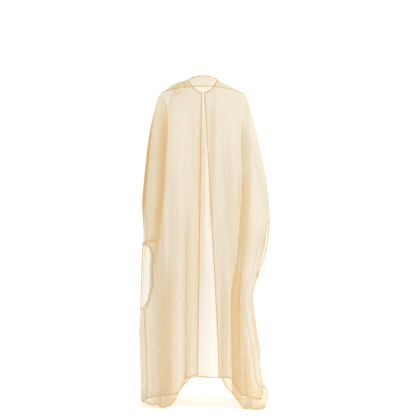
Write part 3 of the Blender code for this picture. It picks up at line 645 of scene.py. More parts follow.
# %% How a wrist opening draws the cloth in
Wrist = namedtuple("Wrist", "line top bottom drawn_side draw_x draw_y reach")
WRISTS = {
    "right": Wrist("right", 0.520, 0.735, 1, 0.009, -0.030, 0.082),
    "left": Wrist("left", 0.600, 0.830, 1, -0.043, 0.008, 0.082),
}
OPENED_AT = (0.00, 0.03, 0.09, 0.20, 0.38, 0.60, 0.76, 0.90, 1.00)
OPENED = (0.00, 0.40, 0.72, 0.97, 0.90, 1.00, 0.76, 0.42, 0.00)
DRAWN_SHARE = 0.7  # power with which the draw fades along the ring
for side, wrist in WRISTS.items():
    print("the", side, "wrist opening is", round(wrist.bottom - wrist.top, 3), "m long")


def draw_in(ring, angle, level, side):
    """How far a wrist opening draws the cloth beside it; side is -1 before the line and 1 after it."""
    shift_x = np.zeros(np.shape(angle))
    shift_y = np.zeros(np.shape(angle))
    for wrist in WRISTS.values():
        way = (level - wrist.top) / (wrist.bottom - wrist.top)
        if side != wrist.drawn_side or not 0.0 < way < 1.0:
            continue
        opened = float(smooth_curve(OPENED_AT, OPENED, way))
        beside = ring.from_line(angle, wrist.line)
        share = np.clip(1 - np.abs(beside) / wrist.reach, 0.0, 1.0) ** DRAWN_SHARE
        held = opened * share * (beside * side >= -1e-6)
        shift_x = shift_x + wrist.draw_x * held
        shift_y = shift_y + wrist.draw_y * held
    return shift_x, shift_y


# %% [markdown]
# ## One function for all the cloth
#
# Every piece takes its points from the same function, so panels meet exactly at their seams, and a
# yoke, hem or tape that lies on a panel is the same cloth moved out a little. It also gives how far
# the folds move the cloth. From that follows how far it is gathered: the area of folded cloth over
# the area that it covers. The material uses that, because sheer cloth looks denser where more of it
# stands on edge.

# %% The finished form
SIDEWAYS = 0.05  # degrees either way, for the direction along a ring


def cloth_row(line, offset, level, side=0):
    """Points of the finished form on one ring, the way out, what folds move, and what pleats add."""
    ring = RingLine.at(level)
    offset = np.asarray(offset, float)
    angle = ring.angle(line, offset)
    x, y, down = base_form(angle, level)
    ahead_x, ahead_y, _ = base_form(angle + SIDEWAYS, level)
    behind_x, behind_y, _ = base_form(angle - SIDEWAYS, level)
    along_x = ahead_x - behind_x
    along_y = ahead_y - behind_y
    length = np.hypot(along_x, along_y)
    out_x = -along_y / length
    out_y = along_x / length
    out_sign = np.sign(out_x * x + out_y * y)
    out_x = out_x * out_sign
    out_y = out_y * out_sign
    moved = fold_depth(ring, angle, level) + ripple_depth(ring.from_line(angle, line), level, line)
    spare = down - (FLOOR_DOWN - FLOOR_BEND)
    on_floor = ease(spare / FLOOR_BEND)
    x = x + out_x * moved * (1 - on_floor)
    y = y + out_y * moved * (1 - on_floor)
    shift_x, shift_y = draw_in(ring, angle, level, side)
    bend = np.clip(spare / FLOOR_BEND, 0.0, math.pi / 2)
    run = FLOOR_BEND * (1 - np.cos(bend)) + np.clip(spare - FLOOR_BEND * math.pi / 2, 0.0, None)
    z = -np.where(spare > 0, FLOOR_DOWN - FLOOR_BEND + FLOOR_BEND * np.sin(bend), down)
    z = z + FLOOR_RELIEF * np.abs(moved) * on_floor
    run_length = np.hypot(out_x, out_y + FLOOR_RUN_BACK)
    x = x + shift_x + out_x / run_length * run
    y = y + shift_y + (out_y + FLOOR_RUN_BACK) / run_length * run
    outs = np.stack([out_x, out_y, 0 * out_x], axis=-1)
    return np.stack([x, y, z], axis=-1), outs, moved, pleat_and_painted_light_layers(ring, level, angle)


# %% How far the cloth is gathered
MOST_GATHER = 3.0
GATHER_REACH = 0.0085  # a gather is read over this much cloth to either side
EDGE_BUNCH = 1.6  # how much the edge that a wrist opening draws in is bunched
BUNCH_WIDTH = 0.008
BUNCH_START = 0.08  # shares of the opening's length over which the bunching starts and ends
BUNCH_END = 0.25


def gathered(moved, offsets, levels):
    """Cloth over each bit of the ring, from how the folds rise and fall along and down it."""
    along = np.gradient(moved, axis=1) / np.gradient(offsets, axis=1)
    downward = np.gradient(moved, axis=0) / np.gradient(levels)[:, None]
    gather = np.minimum(np.sqrt(1 + along**2 + downward**2), MOST_GATHER)
    for row, offset in enumerate(offsets):
        apart = (offset[:, None] - offset[None, :]) / GATHER_REACH
        weights = np.exp(-(apart**2))
        gather[row] = weights @ gather[row] / weights.sum(axis=1)
    return gather


def bunched(offsets, levels, line, side):
    """What the drawn-in edge of a wrist opening adds to the gather."""
    extra = np.zeros(offsets.shape)
    for wrist in WRISTS.values():
        if wrist.line == line and side == wrist.drawn_side:
            way = (np.asarray(levels) - wrist.top) / (wrist.bottom - wrist.top)
            opened = ease(way / BUNCH_START) * ease((1 - way) / BUNCH_END)
            extra += EDGE_BUNCH * opened[:, None] * np.exp(-((offsets / BUNCH_WIDTH) ** 2))
    return extra


# %% A sheet of cloth as rows and columns of points
Sheet = namedtuple("Sheet", "points normals gather across down")


def surface_normals(points):
    """The way out at each point of a grid, from its neighbours."""
    around = np.gradient(points, axis=1)
    downward = np.gradient(points, axis=0)
    normals = np.cross(downward, around)
    return normals / np.maximum(np.linalg.norm(normals, axis=-1, keepdims=True), 1e-12)


def sheet_between(line, start, stop, columns, levels, side=0):
    """The cloth between two edges, each given as an offset from the line at a level."""
    shares = np.linspace(0.0, 1.0, columns + 1)
    offsets = np.array([start(level) + (stop(level) - start(level)) * shares for level in levels])
    rows = [cloth_row(line, offset, level, side) for offset, level in zip(offsets, levels)]
    points, outs, moved, layers = (np.array(values) for values in zip(*rows))
    # the pleat rows' layers join the gather, with painted shade and painted light among them
    gather = gathered(moved, offsets, levels) + bunched(offsets, levels, line, side) + layers
    normals = surface_normals(points)
    normals *= np.sign(np.mean(np.sum(normals * outs, axis=-1)))
    steps_across = np.linalg.norm(np.diff(points, axis=1), axis=-1)
    steps_down = np.linalg.norm(np.diff(points, axis=0), axis=-1)
    across = np.pad(np.cumsum(steps_across, axis=1), ((0, 0), (1, 0)))
    down = np.pad(np.cumsum(steps_down, axis=0), ((1, 0), (0, 0)))
    return Sheet(points, normals, gather, across, down)


# %% From a sheet to a mesh
def new_object(name, mesh):
    made = bpy.data.objects.new(name, mesh)
    bpy.context.scene.collection.objects.link(made)
    mesh.shade_smooth()
    return made


def cloth_object(name, sheet, finish, lift=0.0):
    """A thin piece of cloth, with its threads' places as a UV map and its gathers as an attribute, which
    also carries the painted shade and painted light of some pleat rows.
    """
    rows, columns = sheet.points.shape[:2]
    numbers = np.arange(rows * columns).reshape(rows, columns)
    quads = np.stack([numbers[:-1, :-1], numbers[1:, :-1], numbers[1:, 1:], numbers[:-1, 1:]], axis=-1)
    mesh = bpy.data.meshes.new(name)
    places = (sheet.points + sheet.normals * lift).reshape(-1, 3)
    mesh.from_pydata(places.tolist(), [], quads.reshape(-1, 4).tolist())
    threads = np.stack([sheet.across.ravel(), sheet.down.ravel()], axis=-1)
    corners = np.zeros(len(mesh.loops), int)
    mesh.loops.foreach_get("vertex_index", corners)
    mesh.uv_layers.new(name="threads").data.foreach_set("uv", threads[corners].ravel())
    mesh.attributes.new("gather", "FLOAT", "POINT").data.foreach_set("value", sheet.gather.ravel())
    made = new_object(name, mesh)
    made.data.materials.append(finish)
    return made


# %% [markdown]
# ## The cloth's finish
#
# Chiffon is a loose, even weave of very fine crepe-twisted thread. Each layer lets more than half
# of the light through, so one layer is barely tinted, two are beige, and a bunched fold is golden.
# The cloth is painted as a see-through surface, not as glass: a thin layer's light passes straight
# through between the threads, and the threads themselves are matt with a soft sheen. The golden of a
# bunched fold is painted brighter than its thread: painted light that lifts the shade inside folds.
#
# The maths of a material reads best as expressions, so a small class wraps a socket and adds the
# Math nodes when values are added or multiplied.

# %% Expressions on sockets
class Signal:
    """One output of a material's node; arithmetic on it adds Math nodes."""

    def __init__(self, finish, socket):
        self.finish = finish
        self.socket = socket

    def math(self, operation, *values):
        sockets = dict(enumerate(values))
        return self.finish.node("ShaderNodeMath", {"operation": operation}, sockets)

    def __add__(self, other):
        return self.math("ADD", self, other)

    __radd__ = __add__

    def __mul__(self, other):
        return self.math("MULTIPLY", self, other)

    __rmul__ = __mul__

    def __sub__(self, other):
        return self.math("SUBTRACT", self, other)

    def __rsub__(self, other):
        return self.math("SUBTRACT", other, self)

    def __truediv__(self, other):
        return self.math("DIVIDE", self, other)

    def __pow__(self, other):
        return self.math("POWER", self, other)

    def wave(self):
        return self.math("SINE", self)

    def held(self, low=0.0, high=1.0):
        """The value, kept between two limits."""
        return self.math("MINIMUM", self.math("MAXIMUM", self, low), high)


class Finish:
    """A material being made: node() adds a node and gives one of its outputs."""

    def __init__(self, name, **constants):
        self.material = bpy.data.materials.new(name)
        self.material.use_nodes = True
        self.tree = self.material.node_tree
        self.shader = self.tree.nodes["Principled BSDF"]
        for socket, value in constants.items():
            self.shader.inputs[socket.replace("_", " ")].default_value = value

    def node(self, kind, settings=None, sockets=None, output=0):
        made = self.tree.nodes.new(kind)
        for setting, value in (settings or {}).items():
            setattr(made, setting, value)
        for socket, value in (sockets or {}).items():
            self.feed(made.inputs[socket], value)
        return Signal(self, made.outputs[output])

    def feed(self, socket, value):
        if isinstance(value, Signal):
            self.tree.links.new(value.socket, socket)
        else:
            socket.default_value = value

    def mix_colours(self, factor, first, second):
        settings = {"data_type": "RGBA", "blend_type": "MIX"}
        return self.node("ShaderNodeMix", settings, {0: factor, 6: first, 7: second}, output=2)

    def show(self, socket, value):
        """Feeds a socket of the shader itself."""
        self.feed(self.shader.inputs[socket], value)

    def make_sheer(self, cover, light_through, share):
        """Lets part of the light through the threads, and the rest between them."""
        lit_through = self.node("ShaderNodeBsdfTranslucent", None, {"Color": light_through})
        front = Signal(self, self.shader.outputs[0])
        cloth = self.node("ShaderNodeMixShader", None, {0: share, 1: front, 2: lit_through})
        clear = self.node("ShaderNodeBsdfTransparent")
        shown = self.node("ShaderNodeMixShader", None, {0: cover, 1: clear, 2: cloth})
        self.feed(self.tree.nodes["Material Output"].inputs["Surface"], shown)


# %% [markdown]
# The weave is finer than a pixel of the photograph, so from afar it only softens the light. Up close
# it shows as a fine grid with a crepe grain, and with faint streaks where a thread runs thicker.

# %% The chiffon
THREAD_PITCH = 0.0006
CREPE_GRAIN = 0.0016
PALE_CLOTH = (0.540, 0.472, 0.315, 1.0)
# painted light: the golden of the folds is brighter than the thread, to lift the shade inside them
GOLDEN_WITH_PAINTED_LIGHT = (0.80, 0.530, 0.195, 1.0)
LIGHT_THROUGH = (0.690, 0.535, 0.265, 1.0)
FOLD_DENSITY = 1.1  # layers that the cloth seems to gain, for each one that a gather adds
GOLD_BY_GATHER = 0.6  # how much nearer to golden each added layer makes the cloth
THROUGH_SHARE = 0.45
STREAKS_ACROSS = 420.0  # thick threads to a metre
STREAKS_DOWN = 9.0
WEAVE_COVER = 0.03  # how much the weave, the grain and the streaks change what a layer holds back
GRAIN_COVER = 0.05
STREAK_COVER = 0.02
COVER_LIMITS = (0.05, 0.95)
STREAK_GOLD = 0.06
SMOOTHEST = 0.58
GRAIN_ROUGHNESS = 0.12
WEAVE_HEIGHT = 0.35  # the weave's height, where the grain's is 1
NOISE = {"noise_dimensions": "2D"}


def chiffon(name, cover):
    """Sheer cloth; cover is the share of light that one flat layer holds back."""
    finish = Finish(name, Roughness=0.62, Sheen_Weight=0.25, Sheen_Roughness=0.4)
    finish.shader.inputs["Specular IOR Level"].default_value = 0.25
    threads = finish.node("ShaderNodeUVMap", {"uv_map": "threads"})
    split = finish.node("ShaderNodeSeparateXYZ", None, {0: threads})
    across = split
    down = Signal(finish, split.socket.node.outputs[1])
    gather = finish.node("ShaderNodeAttribute", {"attribute_name": "gather"}, output=2)

    warp = (across * (math.tau / THREAD_PITCH)).wave()
    weft = (down * (math.tau / THREAD_PITCH)).wave()
    weave = warp * weft
    place = finish.node("ShaderNodeCombineXYZ", None, {0: across / CREPE_GRAIN, 1: down / CREPE_GRAIN})
    grain = finish.node("ShaderNodeTexNoise", NOISE, {"Vector": place, "Scale": 1.0, "Detail": 2.0})
    drawn_out = {0: across * STREAKS_ACROSS, 1: down * STREAKS_DOWN}
    long_threads = finish.node("ShaderNodeCombineXYZ", None, drawn_out)
    streak_noise = {"Vector": long_threads, "Scale": 1.0, "Detail": 2.0}
    streaks = finish.node("ShaderNodeTexNoise", NOISE, streak_noise)

    layer = cover + weave * WEAVE_COVER + (grain - 0.5) * GRAIN_COVER + (streaks - 0.5) * STREAK_COVER
    layers = 1.0 + (gather - 1.0) * FOLD_DENSITY
    held_back = (1.0 - (1.0 - layer.held(*COVER_LIMITS)) ** layers).held()
    finish.make_sheer(held_back, LIGHT_THROUGH, THROUGH_SHARE)
    # more layers make the folds golden, and the brightened golden paints light into them as well
    depth = ((gather - 1.0) * GOLD_BY_GATHER + (streaks - 0.5) * STREAK_GOLD).held()
    finish.show("Base Color", finish.mix_colours(depth, PALE_CLOTH, GOLDEN_WITH_PAINTED_LIGHT))
    finish.show("Roughness", SMOOTHEST + grain * GRAIN_ROUGHNESS)
    height = weave * WEAVE_HEIGHT + grain
    bump = {"Height": height, "Strength": 0.25, "Distance": 0.0003}
    finish.show("Normal", finish.node("ShaderNodeBump", None, bump))
    return finish.material


sheer = chiffon("sheer_cloth", cover=0.37)
doubled = chiffon("doubled_cloth", cover=0.55)
taped = chiffon("seam_cloth", cover=0.22)
print("made", sheer.name, doubled.name, "and", taped.name)

# %% [markdown]
# ## The panels
#
# The robe is cut as one back, two fronts and two sleeves, each sleeve in two halves. A row of points
# every three millimetres is fine enough for the narrowest pleat and still light. The rows are the
# same for every panel, so that their edges meet point by point.
#
# The top of the back is a yoke of two layers. It ends near the top of the sleeves in a seam, which
# shows as a darker line.

# %% Rows of the cloth
ROW_STEP = 0.0032
levels_all = np.linspace(0.0, HEM_LEVEL, round(HEM_LEVEL / ROW_STEP) + 1)
shoulder_row = int(np.argmin(np.abs(levels_all - SHOULDER_LEVEL)))
levels_all[shoulder_row] = SHOULDER_LEVEL
levels_sleeve = levels_all[shoulder_row:]
print(len(levels_all), "rows, shoulder at row", shoulder_row)

# %% Edges of the fronts and sleeves
FrontEdge = namedtuple("FrontEdge", "neck hem")
FRONT_EDGES = {"right": FrontEdge(0.006, 0.060), "left": FrontEdge(0.006, 0.021)}


def front_edge(side, level):
    """Distance from the middle of the front to the edge of this front."""
    edge = FRONT_EDGES[side]
    return edge.neck + (edge.hem - edge.neck) * level / HEM_LEVEL


def sleeve_edge(line, hand, level):
    """Offset from a side line to the sleeve's seam before the line (-1) or after it (1)."""
    face, face_hand = {
        ("right", -1): ("back", 1),
        ("right", 1): ("front", -1),
        ("left", -1): ("front", 1),
        ("left", 1): ("back", -1),
    }[line, hand]
    return hand * (RingLine.at(level).quarter(line, hand) - seam_offset(face, face_hand, level))


# %% Make the panels
BACK_COLUMNS = 230
FRONT_COLUMNS = 96
SLEEVE_COLUMNS = 84
Panel = namedtuple("Panel", "node line start stop columns levels side")
PANELS = {
    "back_cloth": Panel(
        "back_panel",
        "back",
        lambda level: -seam_offset("back", -1, level),
        lambda level: seam_offset("back", 1, level),
        BACK_COLUMNS,
        levels_sleeve,
        0,
    ),
    "yoke_cloth": Panel(
        "back_yoke",
        "back",
        lambda level: -seam_offset("back", -1, level),
        lambda level: seam_offset("back", 1, level),
        BACK_COLUMNS,
        levels_all[: shoulder_row + 1],
        0,
    ),
    "right_front_cloth": Panel(
        "right_front_panel",
        "front",
        lambda level: -seam_offset("front", -1, level),
        lambda level: -front_edge("right", level),
        FRONT_COLUMNS,
        levels_all,
        0,
    ),
    "left_front_cloth": Panel(
        "left_front_panel",
        "front",
        lambda level: front_edge("left", level),
        lambda level: seam_offset("front", 1, level),
        FRONT_COLUMNS,
        levels_all,
        0,
    ),
}
SLEEVE_HALVES = {
    ("right", -1): "right_sleeve_back",
    ("right", 1): "right_sleeve_front",
    ("left", -1): "left_sleeve_front",
    ("left", 1): "left_sleeve_back",
}
for (side_line, side_hand), node in SLEEVE_HALVES.items():
    edges = [
        lambda level, line=side_line, hand=side_hand: sleeve_edge(line, hand, level),
        lambda level: 0.0,
    ]
    start, stop = edges[::-side_hand]
    PANELS[node + "_cloth"] = Panel(
        node, side_line, start, stop, SLEEVE_COLUMNS, levels_sleeve, side_hand
    )

sheets = {}
pieces = {}
for name, panel in PANELS.items():
    sheets[name] = sheet_between(
        panel.line, panel.start, panel.stop, panel.columns, panel.levels, panel.side
    )
    finish, slot = (doubled, "doubled_cloth") if name == "yoke_cloth" else (sheer, "sheer_cloth")
    pieces[name] = cloth_object(name, sheets[name], finish)
    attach(pieces[name], "root")
    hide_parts(panel.node)
    print(name, len(pieces[name].data.polygons), "faces")

# %% [markdown]
# ## Rolled hems
#
# Chiffon frays and is too light for a deep hem, so its edges are rolled: turned twice in a width of
# four millimetres and stitched. A plain tube would look like piping. The roll made here is a little
# flattened, lies along the cloth's own edge, and is puckered by its thread.

# %% A roll along an edge
ROLL_SIDES = 10
ROLL_RADIUS = 0.0019
ROLL_FLATNESS = 0.75
PUCKER_LENGTH = 0.0065
PUCKER_DEPTH = 0.14
PUCKER_APART = 3.7  # so that no two rolls are puckered alike
ROLL_OUT = 0.6  # how far past the cloth's edge the middle of the roll lies, in radii


def roll_object(name, edge, inside, normals, radius, finish, phase):
    """A rolled hem on an edge of the cloth; inside is the row of points next to the edge."""
    threads = edge - inside
    steps = np.gradient(edge, axis=0)
    away = np.cross(steps, normals)
    away *= np.sign(np.sum(away * threads, axis=-1, keepdims=True))
    away /= np.maximum(np.linalg.norm(away, axis=-1, keepdims=True), 1e-12)
    outs = np.cross(away, steps)
    outs *= np.sign(np.sum(outs * normals, axis=-1, keepdims=True))
    outs /= np.maximum(np.linalg.norm(outs, axis=-1, keepdims=True), 1e-12)
    run = np.concatenate([[0.0], np.cumsum(np.linalg.norm(np.diff(edge, axis=0), axis=1))])
    pucker = 1 + PUCKER_DEPTH * ripples(run / PUCKER_LENGTH + phase, phase)[:, None]
    middle = edge + away * radius * ROLL_OUT
    turns = math.tau * np.arange(ROLL_SIDES) / ROLL_SIDES
    rings = [
        middle + (away * math.cos(turn) + outs * math.sin(turn) * ROLL_FLATNESS) * radius * pucker
        for turn in turns
    ]
    places = np.stack(rings, axis=1)
    count = len(edge)
    numbers = np.arange(count * ROLL_SIDES).reshape(count, ROLL_SIDES)
    beside = np.roll(numbers, -1, axis=1)
    quads = np.stack([numbers[:-1], numbers[1:], beside[1:], beside[:-1]], axis=-1).reshape(-1, 4)
    ends = [numbers[0].tolist(), numbers[-1][::-1].tolist()]
    mesh = bpy.data.meshes.new(name)
    mesh.from_pydata(places.reshape(-1, 3).tolist(), [], quads.tolist() + ends)
    bm = bmesh.new()
    bm.from_mesh(mesh)
    bmesh.ops.recalc_face_normals(bm, faces=bm.faces[:])
    bm.to_mesh(mesh)
    bm.free()
    made = new_object(name, mesh)
    made.data.materials.append(finish)
    return made


# %% The finish of a rolled edge
ROLLED_PALE = (0.80, 0.50, 0.17, 1.0)
ROLLED_DARK = (0.74, 0.44, 0.13, 1.0)
ROLLED_THINNEST = 0.74  # what a rolled edge holds back of the light, where it is thinnest
ROLLED_THICKER = 0.2


def rolled_finish(name):
    """Several layers of chiffon together: nearly opaque, golden, with the grain of crepe."""
    finish = Finish(name, Roughness=0.6, Sheen_Weight=0.25)
    place = finish.node("ShaderNodeTexCoord", output=3)
    grain = finish.node("ShaderNodeTexNoise", None, {"Vector": place, "Scale": 700.0, "Detail": 3.0})
    patches = finish.node("ShaderNodeTexNoise", None, {"Vector": place, "Scale": 60.0, "Detail": 2.0})
    finish.show("Base Color", finish.mix_colours(patches.held(), ROLLED_PALE, ROLLED_DARK))
    finish.show("Alpha", (ROLLED_THINNEST + patches * ROLLED_THICKER).held())
    finish.show("Roughness", 0.5 + grain * 0.2)
    bump = {"Height": grain, "Strength": 0.4, "Distance": 0.0004}
    finish.show("Normal", finish.node("ShaderNodeBump", None, bump))
    return finish.material


rolled = rolled_finish("rolled_edge")
print("made", rolled.name)

# %% Roll the hems, front edges and wrist openings
rolls = {}


def add_roll(name, node, edge, inside, normals, radius=ROLL_RADIUS):
    phase = len(rolls) * PUCKER_APART
    rolls[name] = roll_object(name, edge, inside, normals, radius, rolled, phase)
    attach(rolls[name], "root")
    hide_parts(node)


for name, panel in PANELS.items():
    if name == "yoke_cloth":
        continue
    sheet = sheets[name]
    hem = panel.node.replace("_panel", "") + "_hem"
    add_roll(hem + "_roll", hem, sheet.points[-1], sheet.points[-2], sheet.normals[-1])
for side, edge, inside in (("right", -1, -2), ("left", 0, 1)):
    sheet = sheets[side + "_front_cloth"]
    name = side + "_front_edge"
    add_roll(name + "_roll", name, sheet.points[:, edge], sheet.points[:, inside], sheet.normals[:, edge])
for (side, hand), node in SLEEVE_HALVES.items():
    wrist = WRISTS[side]
    open_rows = (levels_sleeve > wrist.top) & (levels_sleeve < wrist.bottom)
    sheet = sheets[node + "_cloth"]
    edge, inside = {-1: (-1, -2), 1: (0, 1)}[hand]
    name = node.replace("_sleeve_", "_wrist_hem_")
    points, normals = sheet.points[open_rows], sheet.normals[open_rows]
    add_roll(name + "_roll", name, points[:, edge], points[:, inside], normals[:, edge])
print(len(rolls), "rolls")

# %% The neck binding
NECK_RADIUS = 0.0024
neck = {"edge": [], "inside": [], "out": []}
for name in ("left_front_cloth", "yoke_cloth", "right_front_cloth"):
    sheet = sheets[name]
    kept = slice(1, -1) if name == "yoke_cloth" else slice(None)
    neck["edge"].append(sheet.points[0][kept])
    neck["inside"].append(sheet.points[1][kept])
    neck["out"].append(sheet.normals[0][kept])
edge, inside, out = (np.concatenate(neck[key]) for key in ("edge", "inside", "out"))
add_roll("neck_roll", "neck_binding", edge, inside, out, NECK_RADIUS)
print("neck binding of", len(edge), "sections,", round(2000 * NECK_RADIUS, 1), "mm thick")

# %% [markdown]
# ## Felled seams
#
# Sheer cloth shows the inside of its seams, so they are felled: the two allowances are folded into
# each other and sewn down flat. Each seam then shows as a slightly denser line about five
# millimetres wide. A tape is made from the same rows as the panels, moved a hair off them: the
# yoke's on the outside, and all the others on the inside.

# %% Tapes along the seams
TAPE_WIDTH = 0.0045
TAPE_COLUMNS = 3
TAPE_LIFT = 0.0006
YOKE_SEAM_LAYERS = 1.0  # the yoke's seam joins three layers, so its felled seam is the densest
tapes = {}


def add_tape(name, line, edge, width, levels):
    """A tape from an edge, given as an offset from the line, to a width beside it."""
    sheet = sheet_between(line, edge, lambda level: edge(level) + width, TAPE_COLUMNS, levels)
    even = sheet._replace(gather=np.ones_like(sheet.gather))
    tapes[name] = cloth_object(name, even, taped, -TAPE_LIFT)
    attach(tapes[name], "root")
    return sheet


SIDE_HANDS = {"right": 1, "left": -1}
seam_sheets = {}
for face, hand in SEAMS:
    side = "right" if (face == "back") == (hand > 0) else "left"
    name = f"{side}_{face}_armhole_seam"
    seam_sheets[name] = add_tape(
        name,
        face,
        lambda level, face=face, hand=hand: hand * seam_offset(face, hand, level),
        -hand * TAPE_WIDTH,
        levels_sleeve,
    )
for side, hand in SIDE_HANDS.items():
    wrist = WRISTS[side]
    for part, levels in (
        ("shoulder", levels_all[: shoulder_row + 1]),
        ("sleeve_upper", levels_sleeve[levels_sleeve <= wrist.top]),
        ("sleeve_lower", levels_sleeve[levels_sleeve >= wrist.bottom]),
    ):
        name = f"{side}_{part}_seam"
        seam_sheets[name] = add_tape(name, side, lambda level: 0.0, -hand * TAPE_WIDTH, levels)
yoke_rows = slice(-3, None)
yoke_edge = Sheet(*(values[yoke_rows] for values in sheets["yoke_cloth"]))
yoke_edge = yoke_edge._replace(gather=yoke_edge.gather + YOKE_SEAM_LAYERS)
tapes["yoke_seam"] = cloth_object("yoke_seam", yoke_edge, doubled, TAPE_LIFT)
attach(tapes["yoke_seam"], "root")
print(len(tapes), "seam tapes")

# %% [markdown]
# ## Stitches
#
# All the sewing is a fine lockstitch in matching thread. Each stitch is a tiny spindle that lies on
# the cloth: long stitches look coarse on chiffon, so they are two millimetres, one every three.

# %% A line of stitches
STITCH_LENGTH = 0.0020
STITCH_PITCH = 0.0030
STITCH_RADIUS = 0.00022
STITCH_LIFT = 0.0005


def line_beside(sheet, edge, distance):
    """The line of cloth at a distance from one edge, and the way out of it."""
    points, normals = sheet.points, sheet.normals
    if edge == "hem":
        points, normals = points.swapaxes(0, 1), normals.swapaxes(0, 1)
    if edge in ("hem", "stop"):
        points, normals = points[:, ::-1], normals[:, ::-1]
    steps = np.linalg.norm(np.diff(points, axis=1), axis=-1)
    runs = np.pad(np.cumsum(steps, axis=1), ((0, 0), (1, 0)))

    def at_distance(run, row):
        return [np.interp(distance, run, row[:, k]) for k in range(3)]

    return [
        np.array([at_distance(run, row) for run, row in zip(runs, values)])
        for values in (points, normals)
    ]


def stitch_places(line, outs, lift):
    """Corners of the spindles along a line: two ends and four round the middle of each."""
    run = np.concatenate([[0.0], np.cumsum(np.linalg.norm(np.diff(line, axis=0), axis=1))])
    starts = np.arange(STITCH_PITCH, run[-1] - STITCH_PITCH, STITCH_PITCH)

    def at(values, where):
        return np.stack([np.interp(where, run, values[:, k]) for k in range(3)], axis=-1)

    first, last = at(line, starts), at(line, starts + STITCH_LENGTH)
    out = at(outs, starts)
    across = np.cross(last - first, out)
    across *= STITCH_RADIUS / np.maximum(np.linalg.norm(across, axis=1, keepdims=True), 1e-12)
    up = out * STITCH_RADIUS
    middle = (first + last) / 2
    corners = [first, last, middle + across, middle + up, middle - across, middle - up]
    return np.stack(corners, axis=1) + (out * lift)[:, None]


SPINDLE_FACES = np.array(
    [(0, 3, 2), (0, 4, 3), (0, 5, 4), (0, 2, 5), (1, 2, 3), (1, 3, 4), (1, 4, 5), (1, 5, 2)]
)


def stitches_object(name, lines, finish):
    """All the stitches of several lines, as one piece."""
    places = np.concatenate([stitch_places(line, outs, lift) for line, outs, lift in lines])
    faces = SPINDLE_FACES[None] + 6 * np.arange(len(places))[:, None, None]
    mesh = bpy.data.meshes.new(name)
    mesh.from_pydata(places.reshape(-1, 3).tolist(), [], faces.reshape(-1, 3).tolist())
    made = new_object(name, mesh)
    made.data.materials.append(finish)
    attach(made, "root")
    print(name, len(places), "stitches")


# %% The thread
THREAD_DARK = (0.84, 0.66, 0.40, 1.0)
THREAD_PALE = (0.90, 0.73, 0.48, 1.0)


def thread_finish(name):
    """Matching thread: opaque, a little glossier than the cloth, with the twist of its plies."""
    finish = Finish(name, Roughness=0.45)
    place = finish.node("ShaderNodeTexCoord", output=3)
    plies = finish.node("ShaderNodeTexNoise", None, {"Vector": place, "Scale": 2500.0, "Detail": 1.0})
    finish.show("Base Color", finish.mix_colours(plies, THREAD_DARK, THREAD_PALE))
    finish.show("Roughness", 0.4 + plies * 0.2)
    bump = {"Height": plies, "Strength": 0.3, "Distance": 0.0001}
    finish.show("Normal", finish.node("ShaderNodeBump", None, bump))
    return finish.material


thread = thread_finish("sewing_thread")
print("made", thread.name)

# %% Sew the hems, edges and seams
HEM_STITCH_UP = 0.015  # a second row above the rolled hem
EDGE_STITCH_IN = 0.0035
SEAM_STITCH_IN = 0.001  # rows along both edges of a tape
YOKE_STITCH_UP = 0.0052
hem_lines = []
edge_lines = []
for name, panel in PANELS.items():
    if name != "yoke_cloth":
        for up in (EDGE_STITCH_IN, HEM_STITCH_UP):
            hem_lines.append((*line_beside(sheets[name], "hem", up), STITCH_LIFT))
for side, edge in (("right", "stop"), ("left", "start")):
    edge_lines.append((*line_beside(sheets[side + "_front_cloth"], edge, EDGE_STITCH_IN), STITCH_LIFT))
for (side, hand), node in SLEEVE_HALVES.items():
    wrist = WRISTS[side]
    rows = (levels_sleeve > wrist.top) & (levels_sleeve < wrist.bottom)
    opening = Sheet(*(values[rows] for values in sheets[node + "_cloth"]))
    edge = "stop" if hand < 0 else "start"
    edge_lines.append((*line_beside(opening, edge, EDGE_STITCH_IN), STITCH_LIFT))
seam_lines = [
    (*line_beside(sheet, edge, SEAM_STITCH_IN), STITCH_LIFT)
    for sheet in seam_sheets.values()
    for edge in ("start", "stop")
]
for up in (SEAM_STITCH_IN, YOKE_STITCH_UP):
    seam_lines.append((*line_beside(yoke_edge, "hem", up), STITCH_LIFT + TAPE_LIFT))
stitches_object("hem_stitches", hem_lines, thread)
stitches_object("edge_stitches", edge_lines, thread)
stitches_object("seam_stitches", seam_lines, thread)

# %% [markdown]
# ## The room
#
# The photograph has a plain white ground. A white world gives that and a light from all round, which
# sheer cloth needs: most of what is seen of it is light that comes through. One large soft lamp on
# the right gives the folds their shape.

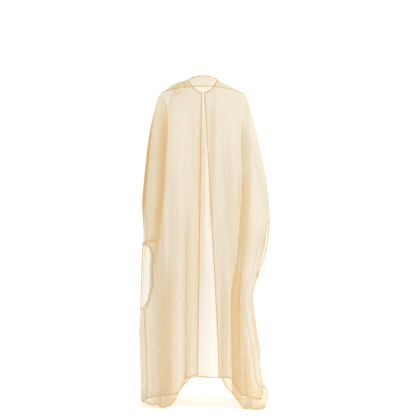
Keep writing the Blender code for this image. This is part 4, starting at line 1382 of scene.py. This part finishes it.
# %% The floor
FLOOR_HALF = 6.0
FLOOR_CLEAR = 0.0004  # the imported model's lowest point is this far above the floor
FLOOR_HEIGHT = cad_box[0][2] - FLOOR_CLEAR
corner_signs = ((-1, -1), (1, -1), (1, 1), (-1, 1))
floor_corners = [(x * FLOOR_HALF, y * FLOOR_HALF, FLOOR_HEIGHT) for x, y in corner_signs]
floor_mesh = bpy.data.meshes.new("floor")
floor_mesh.from_pydata(floor_corners, [], [(0, 1, 2, 3)])
floor = new_object("floor", floor_mesh)
floor_finish = Finish("pale_floor", Roughness=0.9)
floor_finish.show("Base Color", (0.99, 0.99, 0.99, 1.0))
floor.data.materials.append(floor_finish.material)
print("floor at", round(FLOOR_HEIGHT, 4), "m")

# %% The white room
ROOM_STRENGTH = 1.08
world = bpy.data.worlds.new("white_room")
bpy.context.scene.world = world
world.use_nodes = True
ground = world.node_tree.nodes["Background"]
ground.inputs["Color"].default_value = (1.0, 1.0, 1.0, 1.0)
ground.inputs["Strength"].default_value = ROOM_STRENGTH
print("white room, strength", ROOM_STRENGTH)

# %% The lamp
KEY_PLACE = (-3.6, 1.7, 0.7)
KEY_AIM = (0.0, 0.0, -0.5)
KEY_SIZE = 1.6
KEY_POWER = 95.0


def soft_lamp(name, place, aim, size, power):
    data = bpy.data.lights.new(name, "AREA")
    data.shape = "SQUARE"
    data.size = size
    data.energy = power
    lamp = bpy.data.objects.new(name, data)
    bpy.context.scene.collection.objects.link(lamp)
    lamp.location = place
    way = Vector([a - p for a, p in zip(aim, place)])
    lamp.rotation_euler = way.to_track_quat("-Z", "Y").to_euler()


soft_lamp("key_lamp", KEY_PLACE, KEY_AIM, KEY_SIZE, KEY_POWER)
bpy.context.scene.view_settings.view_transform = "Standard"
print("key lamp of", KEY_POWER, "W,", KEY_SIZE, "m across")

# %% [markdown]
# ## Each panel's sheet
#
# Each panel's sheet is taken in turn. The panels taper to the neck, so their area is less than that
# of the rectangle they were cut from.


for name in PANELS:
    sheet = sheets[name]
